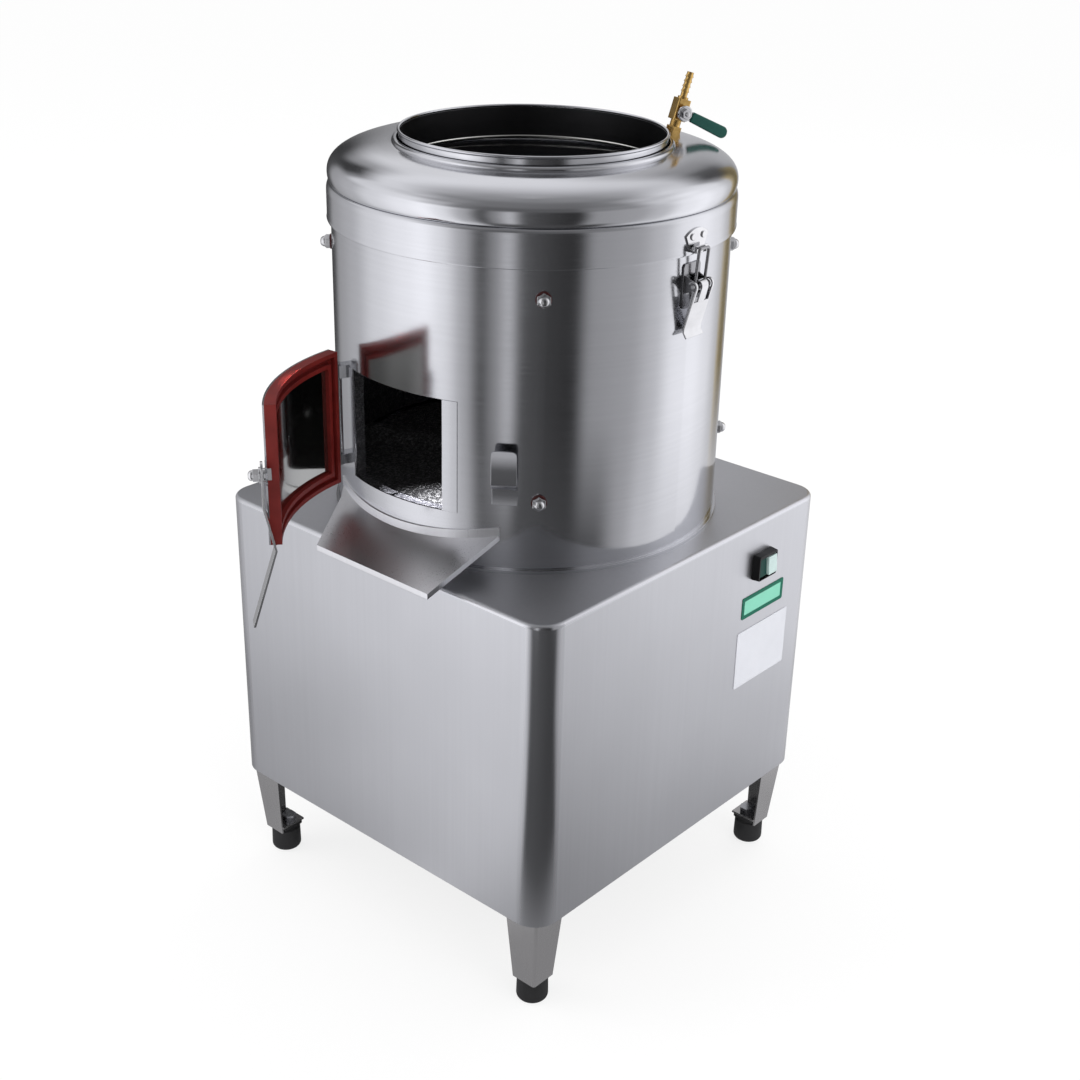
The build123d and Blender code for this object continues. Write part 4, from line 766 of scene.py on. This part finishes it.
def latch_lever(turn):
    """A handle plate with turned edges. Its top is cut into three tongues that curl round the pin, and the
    loop's two legs pass between them. Places are (out, up) from the pivot."""
    pivot = joint_place("latch_lever_right_turn")
    sheet, half, slot_inner, slot_outer = 0.0015, 0.0125, 0.0046, 0.0103
    curl, curl_turn = 0.0044, 165
    tip, lip = Vector((-0.0070, -0.0410)), Vector((-0.0032, -0.0470))
    lip_bend, tip_bend, plate_low = Vector((-0.0022, 0.0030)), Vector((0.0004, -0.0012)), -0.0380
    slot_low, lap = -0.0140, 0.0005
    flange_low, flange_high, flange_low_in, flange_high_in = -0.0400, -0.0040, 0.0016, 0.0030
    low_bevel, high_bevel = 0.0004, 0.0010
    pin, pin_half = 0.0020, 0.0122
    saddle_half, saddle_back, saddle_nose = 0.0044, -0.0040, 0.0006
    saddle_low, saddle_high, nose_high = -0.0103, -0.0055, -0.0095
    saddle_start, saddle_end = -0.0100, -0.0060

    # The plate's straight part touches the curl
    tangent = math.asin(-curl / tip.length) - math.atan2(-tip.x, -tip.y)
    meet = Vector((curl * math.cos(tangent), curl * math.sin(tangent)))

    def on_plate(up):
        return tip.x + (meet.x - tip.x) * (up - tip.y) / (meet.y - tip.y), up

    def strip(points, middle, width):
        line = [(pivot.x + out, pivot.z + up, middle, width) for out, up in points]
        ribbon(mesh, line, sheet, Matrix.Rotation(math.pi * turn, 4, "Z"))

    def side_cut(points, low, high):
        prism(mesh, [(pivot.x + out, pivot.z + up) for out, up in points], low, high, across_place(turn))

    mesh = bmesh.new()
    strip([lip, lip + lip_bend, tip + tip_bend, on_plate(plate_low), on_plate(slot_low)], 0.0, half)
    degrees = math.degrees(tangent)
    tongue = [on_plate(slot_low - lap)] + oval((0.0, 0.0), curl, curl, degrees, degrees + curl_turn, 12)
    strip(tongue, 0.0, slot_inner)
    bottom, top = on_plate(flange_low), on_plate(flange_high)
    flange = [
        bottom, top, (top[0] - flange_high_in, top[1] + high_bevel),
        (bottom[0] - flange_low_in, bottom[1] + low_bevel),
    ]
    for side in (-1, 1):
        strip(tongue, side * (slot_outer + half) / 2, (half - slot_outer) / 2)
        side_cut(flange, *sorted((side * (half - sheet), side * half)))
    pin_place = across_place(turn) @ Matrix.Translation((pivot.x, pivot.z, 0))
    turned(mesh, [(0.0, -pin_half), (pin, -pin_half), (pin, pin_half), (0.0, pin_half)], pin_place, 24)
    saddle = [
        (saddle_back, saddle_low), (saddle_nose, saddle_low), (on_plate(saddle_start)[0], nose_high),
        on_plate(saddle_end), (saddle_back, saddle_high),
    ]
    side_cut(saddle, -saddle_half, saddle_half)
    side_name = ("right", "left")[turn]
    body = "latch_lever_" + side_name
    piece = smooth_piece("latch_handle_" + side_name, mesh, "bright_steel", body, edge=0.0003)
    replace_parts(piece, body)


def catch_plate():
    """The door lever's catch: a strip that lies on the drum, steps out and stands up with rounded corners."""
    half, corner, sheet = 0.01125, 0.0040, 0.0016
    seat_gap, stand_out = 0.0005, 0.0100
    foot, step_top, bend = 0.0140, 0.0232, 0.0020
    low_bend_out, high_bend_in = 0.0006, 0.0008
    low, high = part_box("door_catch")
    middle = (low + high) / 2
    seat, reach = drum_wall + seat_gap, drum_wall + stand_out
    side = [
        (seat, low.z), (seat, low.z + foot), (seat + low_bend_out, low.z + foot + bend),
        (reach - high_bend_in, low.z + step_top - bend), (reach, low.z + step_top),
    ]
    line = [(out, up, 0.0, half) for out, up in side]
    line += [
        (reach, up, 0.0, width)
        for width, up in oval((half - corner, high.z - corner), corner, corner, 0, 90, 6)
    ]
    mesh = bmesh.new()
    ribbon(mesh, line, sheet, Matrix.Rotation(math.atan2(middle.y, middle.x), 4, "Z"))
    piece = smooth_piece("catch_plate", mesh, "polished_sheet", "frame", edge=0.0005)
    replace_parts(piece, "door_catch")


def valve_lever():
    """The valve's chrome lever with its nut, and the green sleeve that covers all but its hub."""
    droop = math.radians(25.5)
    stem, stem_down = 0.0025, 0.0080
    hub, hub_bevel, hub_cap = 0.0074, 0.0008, 0.0006
    arm_start, arm_end, arm_half, arm_sheet = 0.0040, 0.0200, 0.0044, 0.0022
    arm_under, arm_over = 0.0003, 0.0002
    nut, nut_up = 0.0088, 0.0042
    stud, stud_up, stud_point = 0.0022, 0.0058, 0.0004
    sleeve_start, sleeve_end, sleeve_half, sleeve_in = 0.0074, 0.0500, 0.0056, 0.0008
    sleeve_low, sleeve_high = -0.0012, 0.0036

    outward = Vector(joint("valve_turn")["axis"]).normalized()
    level = Vector((-outward.y, outward.x, 0))
    along = math.cos(droop) * level - math.sin(droop) * Vector((0, 0, 1))
    place = Matrix((along, outward.cross(along), outward)).transposed().to_4x4()
    place = Matrix.Translation(joint_place("valve_turn")) @ place
    mesh = bmesh.new()
    hub_top = arm_sheet + hub_cap
    turned(mesh, [
        (0.0, -stem_down), (stem, -stem_down), (stem, 0.0), (hub, 0.0), (hub, arm_sheet),
        (hub - hub_bevel, hub_top), (0.0, hub_top),
    ], place)
    arm = [(arm_start, -arm_half), (arm_end, -arm_half), (arm_end, arm_half), (arm_start, arm_half)]
    prism(mesh, arm, arm_under, arm_sheet - arm_over, place)
    prism(mesh, hexagon(nut), arm_sheet, arm_sheet + nut_up, place)
    stud_top = arm_sheet + stud_up
    stud_profile = [(0.0, arm_sheet), (stud, arm_sheet), (stud, stud_top), (0.0, stud_top + stud_point)]
    turned(mesh, stud_profile, place, 24)
    piece = smooth_piece("valve_arm", mesh, "bright_steel", "valve_handle", edge=0.0004)
    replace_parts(piece, "valve_handle")

    sleeve = [(sleeve_start, sleeve_in - sleeve_half)]
    sleeve += oval((sleeve_end - sleeve_half, 0.0), sleeve_half, sleeve_half, -90, 90, 12)
    sleeve += [(sleeve_start, sleeve_half - sleeve_in)]
    mesh = bmesh.new()
    prism(mesh, sleeve, sleeve_low, sleeve_high, place)
    piece = smooth_piece(
        "valve_sleeve", mesh, "green_grip", "valve_handle", edge=0.0014, segments=4
    )
    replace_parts(piece, "valve_grip")


def switch_hood():
    """The switch's black hood, open at the front, with a body behind the wall."""
    half_width, half_height, depth, corner, draft = 0.0156, 0.0136, 0.0080, 0.0020, 0.0006
    window, window_half, window_corner, floor = (0.0006, -0.0014), (0.0140, 0.0112), 0.0010, 0.0010
    body_half, body_corner, body_gap = (0.0125, 0.0105), 0.0010, 0.0001
    low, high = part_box("switch_bezel")
    centre = Vector((cabinet_side, (low.y + high.y) / 2, (low.z + high.z) / 2))
    place = Matrix.Translation(centre) @ Matrix(((0, 0, 1), (1, 0, 0), (0, 1, 0))).to_4x4()
    back = rounded_outline(half_width, half_height, corner)
    front = rounded_outline(half_width - draft, half_height - draft, corner)
    inner = [(window[0] + x, window[1] + y) for x, y in rounded_outline(*window_half, window_corner)]
    mesh = bmesh.new()
    loft(mesh, [
        [mesh.verts.new(place @ Vector((x, y, height))) for x, y in outline]
        for outline, height in ((back, 0.0), (front, depth), (inner, depth), (inner, floor))
    ])
    prism(mesh, rounded_outline(*body_half, body_corner), low.x - cabinet_side, -body_gap, place)
    piece = smooth_piece("switch_hood", mesh, "black_plastic", "frame", edge=0.0004)
    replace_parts(piece, "switch_bezel")


def rocker_halves():
    """The rocker: a dark green half and a raised pale one. Its back slants, so that it clears the hood."""
    bottom, top = -0.0102, 0.0086
    back, bottom_back = -0.0017, 0.0020
    halves = (
        ("rocker_dark_half", "green_rocker", (0.0006, 0.0128), 0.0042, 0.0030),
        ("rocker_pale_half", "pale_rocker", (-0.0143, -0.0002), 0.0066, 0.0052),
    )
    place = Matrix.Translation(joint_place("switch_rock")) @ across_place(0)
    pieces = []
    for name, finish, (start, end), low_out, high_out in halves:
        outline = [(bottom_back, bottom), (low_out, bottom), (high_out, top), (back, top), (back, 0.0)]
        mesh = bmesh.new()
        prism(mesh, outline, start, end, place)
        pieces.append(smooth_piece(name, mesh, finish, "switch_rocker", edge=0.0006))
    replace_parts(pieces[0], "switch_rocker")


# Studio


def bare_material(name):
    """A new material with its node tree, and the socket of its output."""
    material = bpy.data.materials.new(name)
    material.use_nodes = True
    tree = material.node_tree
    tree.nodes.clear()
    return material, tree, tree.nodes.new("ShaderNodeOutputMaterial").inputs["Surface"]


def join(tree, operation, first, second):
    node = tree.nodes.new("ShaderNodeMath")
    node.operation = operation
    tree.links.new(first, node.inputs[0])
    if isinstance(second, float):
        node.inputs[1].default_value = second
    else:
        tree.links.new(second, node.inputs[1])
    return node.outputs[0]


def studio_light_path(tree):
    """1 where a ray comes straight from the camera, off polished metal or through clear plastic"""
    path = tree.nodes.new("ShaderNodeLightPath").outputs
    seen = join(tree, "MAXIMUM", path["Is Camera Ray"], path["Is Glossy Ray"])
    return join(tree, "MAXIMUM", seen, path["Is Transmission Ray"])


def white_world():
    """White to the camera and in polished metal, a little dimmer as light."""
    world = bpy.data.worlds.new("studio")
    scene.world = world
    world.use_nodes = True
    tree = world.node_tree
    background = tree.nodes["Background"]
    level = tree.nodes.new("ShaderNodeMapRange")
    tree.links.new(studio_light_path(tree), level.inputs["Value"])
    level.inputs["To Min"].default_value = world_light
    level.inputs["To Max"].default_value = 1.0
    tree.links.new(level.outputs[0], background.inputs["Strength"])
    background.inputs["Color"].default_value = white


def pale_floor():
    """A plain white floor. It takes the object's shadow, which shows through the camera's white."""
    half = floor_size / 2
    mesh = bmesh.new()
    mesh.faces.new([mesh.verts.new((x * half, y * half, 0)) for x, y in ((-1, -1), (1, -1), (1, 1), (-1, 1))])
    material, tree, surface = bare_material("floor")
    diffuse = tree.nodes.new("ShaderNodeBsdfDiffuse")
    diffuse.inputs["Color"].default_value = floor_tone
    glow = tree.nodes.new("ShaderNodeEmission")
    glow.inputs["Color"].default_value = white
    blend = tree.nodes.new("ShaderNodeMixShader")
    tree.links.new(join(tree, "MULTIPLY", studio_light_path(tree), floor_white), blend.inputs[0])
    tree.links.new(diffuse.outputs[0], blend.inputs[1])
    tree.links.new(glow.outputs[0], blend.inputs[2])
    tree.links.new(blend.outputs[0], surface)
    mesh_object("floor", mesh, material)


def level_between(stops, degrees):
    """The level at one angle, easing from each stop to the next."""
    for (start, low), (end, high) in zip(stops, stops[1:]):
        if degrees <= end:
            share = (degrees - start) / (end - start)
            return low + (high - low) * share * share * (3 - 2 * share)


def tent_rows():
    """The tent's rows, each as a radius, a height and its levels at degrees round from the camera."""
    card, card_edge, side = 0.002, 0.003, 0.78
    # The floor cards are nearly black under the machine and darker near it than further out: painted shade of
    # the machine on the floor, seen in the steel
    under = ((-180, 0.06), (180, 0.06))
    near_floor_shade = (
        (-180, 0.30), (-140, 0.26), (-110, 0.28), (-88, 0.38), (-62, 0.50), (-42, 0.72), (-28, 0.52),
        (-14, 0.36), (20, 0.34), (36, 0.36), (50, 0.40), (66, 0.48), (90, 0.46), (130, 0.34), (180, 0.30),
    )
    middle_floor = (
        (-180, 0.34), (-130, 0.28), (-100, 0.34), (-87, 0.45), (-66, 0.78), (-50, 1.02), (-34, 0.76),
        (-22, 0.10), (38, 0.07), (54, 0.50), (66, 0.66), (83, 0.74), (100, 0.76), (130, 0.60), (180, 0.34),
    )
    far_floor = (
        (-180, 0.45), (-130, 0.38), (-100, 0.52), (-86, 0.76), (-76, 1.04), (-62, 1.22), (-46, 1.16),
        (-33, 0.70), (-22, 0.12), (36, 0.07), (50, 0.50), (62, 0.78), (82, 0.98), (100, 1.08), (126, 0.80),
        (150, 0.50), (180, 0.45),
    )
    wall = (
        (-180, 0.66), (-166, 0.34), (-154, 0.05), (-141, 0.08), (-128, 0.44), (-106, 0.62), (-88, 0.98),
        (-66, 1.26), (-54, 1.42), (-44, 1.14), (-33, 0.58), (-24, 0.09), (-17, 0.34), (-10, 0.74), (-4, 0.10),
        (22, 0.04), (31, 0.43), (52, 0.50), (66, 0.74), (82, 1.25), (98, 1.38), (112, 1.15), (126, 0.70),
        (138, 0.18), (152, 0.50), (180, 0.66),
    )
    high_wall = (
        (-180, 1.00), (-160, 0.90), (-150, 0.40), (-142, 0.05), (-132, 0.06), (-124, 0.26), (-112, 0.90),
        (-88, 1.02), (-66, 1.10), (-50, 0.70), (-38, 0.28), (-24, 0.16), (20, 0.14), (34, 0.30), (52, 0.36),
        (72, 0.90), (96, 1.28), (118, 1.10), (129, 0.30), (136, 0.08), (146, 0.10), (156, 0.34), (166, 0.55),
        (180, 1.00),
    )
    soft_wall = (
        (-180, 1.00), (-150, 1.05), (-110, 0.98), (-80, 0.80), (-55, 0.42), (-30, 0.24), (25, 0.20),
        (48, 0.28), (80, 0.75), (110, 1.02), (142, 0.84), (160, 0.90), (180, 1.00),
    )
    low_ceiling = (
        (-180, 0.80), (-120, 0.66), (-70, 0.34), (-30, 0.24), (30, 0.22), (70, 0.32), (120, 0.55),
        (180, 0.80),
    )
    ceiling = ((-180, 0.52), (-90, 0.40), (0, 0.32), (90, 0.36), (180, 0.52))
    return (
        (0.02, card, under), (0.21, card, under), (0.24, card, near_floor_shade), (0.35, card, near_floor_shade),
        (0.50, card, middle_floor), (0.64, card, middle_floor), (side, card_edge, far_floor),
        (side, 0.14, far_floor), (side, 0.34, wall), (side, 0.92, wall), (side, 1.04, high_wall),
        (side, 1.20, high_wall), (side, 1.42, soft_wall), (side, 1.60, soft_wall), (0.62, 1.85, low_ceiling),
        (0.34, 2.10, ceiling), (0.02, 2.20, ceiling),
    )


def reflector_tent():
    """Floor cards, soft boxes, grey walls, black flags and a dim ceiling round the machine, seen only in
    polished steel. One strip of the wall is warm, as in the photograph's reflections."""
    ring_steps = 180
    plain_tint, warm_tint = (1.0, 1.0, 1.03), (1.0, 0.80, 0.42)
    warm_start, warm_end = 128, 146
    warm_low, warm_high = 0.30, 1.04
    camera_turn = math.atan2(camera_place.y, camera_place.x)
    mesh = bmesh.new()
    tint = mesh.verts.layers.float_color.new("level")
    grid = []
    for radius, height, stops in tent_rows():
        ring = []
        for step in range(ring_steps + 1):
            degrees = -180 + 360 * step / ring_steps
            angle = camera_turn + math.radians(degrees)
            vert = mesh.verts.new((radius * math.cos(angle), radius * math.sin(angle), height))
            warm = warm_start < degrees < warm_end and warm_low < height < warm_high
            vert[tint] = (*scaled(warm_tint if warm else plain_tint, level_between(stops, degrees)), 1)
            ring.append(vert)
        grid.append(ring)
    for low, high in zip(grid, grid[1:]):
        for step in range(ring_steps):
            mesh.faces.new((low[step], low[step + 1], high[step + 1], high[step]))
    material, tree, surface = bare_material("reflector_tent")
    level = tree.nodes.new("ShaderNodeVertexColor")
    level.layer_name = "level"
    glow = tree.nodes.new("ShaderNodeEmission")
    tree.links.new(level.outputs[0], glow.inputs["Color"])
    tree.links.new(glow.outputs[0], surface)
    tent = mesh_object("reflector_tent", mesh, material)
    tent.visible_camera = False
    tent.visible_diffuse = False
    tent.visible_shadow = False
    tent.visible_transmission = False


def add_light(data, place, aim):
    lamp = link(bpy.data.objects.new(data.name, data))
    lamp.location = place
    lamp.rotation_euler = (aim - place).to_track_quat("-Z", "Y").to_euler()
    lamp.visible_glossy = False


def soft_lamp(name, place, power):
    data = bpy.data.lights.new(name, "AREA")
    data.shape = "SQUARE"
    data.size = lamp_size
    data.energy = power
    add_light(data, Vector(place), lamp_aim)


def opening_beam():
    """A narrow beam that falls steeply through the discharge opening onto the abrasive disc."""
    data = bpy.data.lights.new("opening_beam", "SPOT")
    data.energy = beam_power
    data.spot_size = beam_width
    data.spot_blend = beam_blend
    data.shadow_soft_size = beam_softness
    add_light(data, beam_aim + beam_rise, beam_aim)


def studio():
    scene.view_settings.view_transform = "Standard"
    white_world()
    pale_floor()
    reflector_tent()
    for name, place, power in lamps:
        soft_lamp(name, place, power)
    opening_beam()


make_camera()
studio()
dress_nodes()
side_plates()
round_feet()
lid_shells()
inner_hems()
liner_nuts()
latch_base_plates()
latch_lever(0)
latch_lever(1)
catch_plate()
valve_lever()
switch_hood()
rocker_halves()
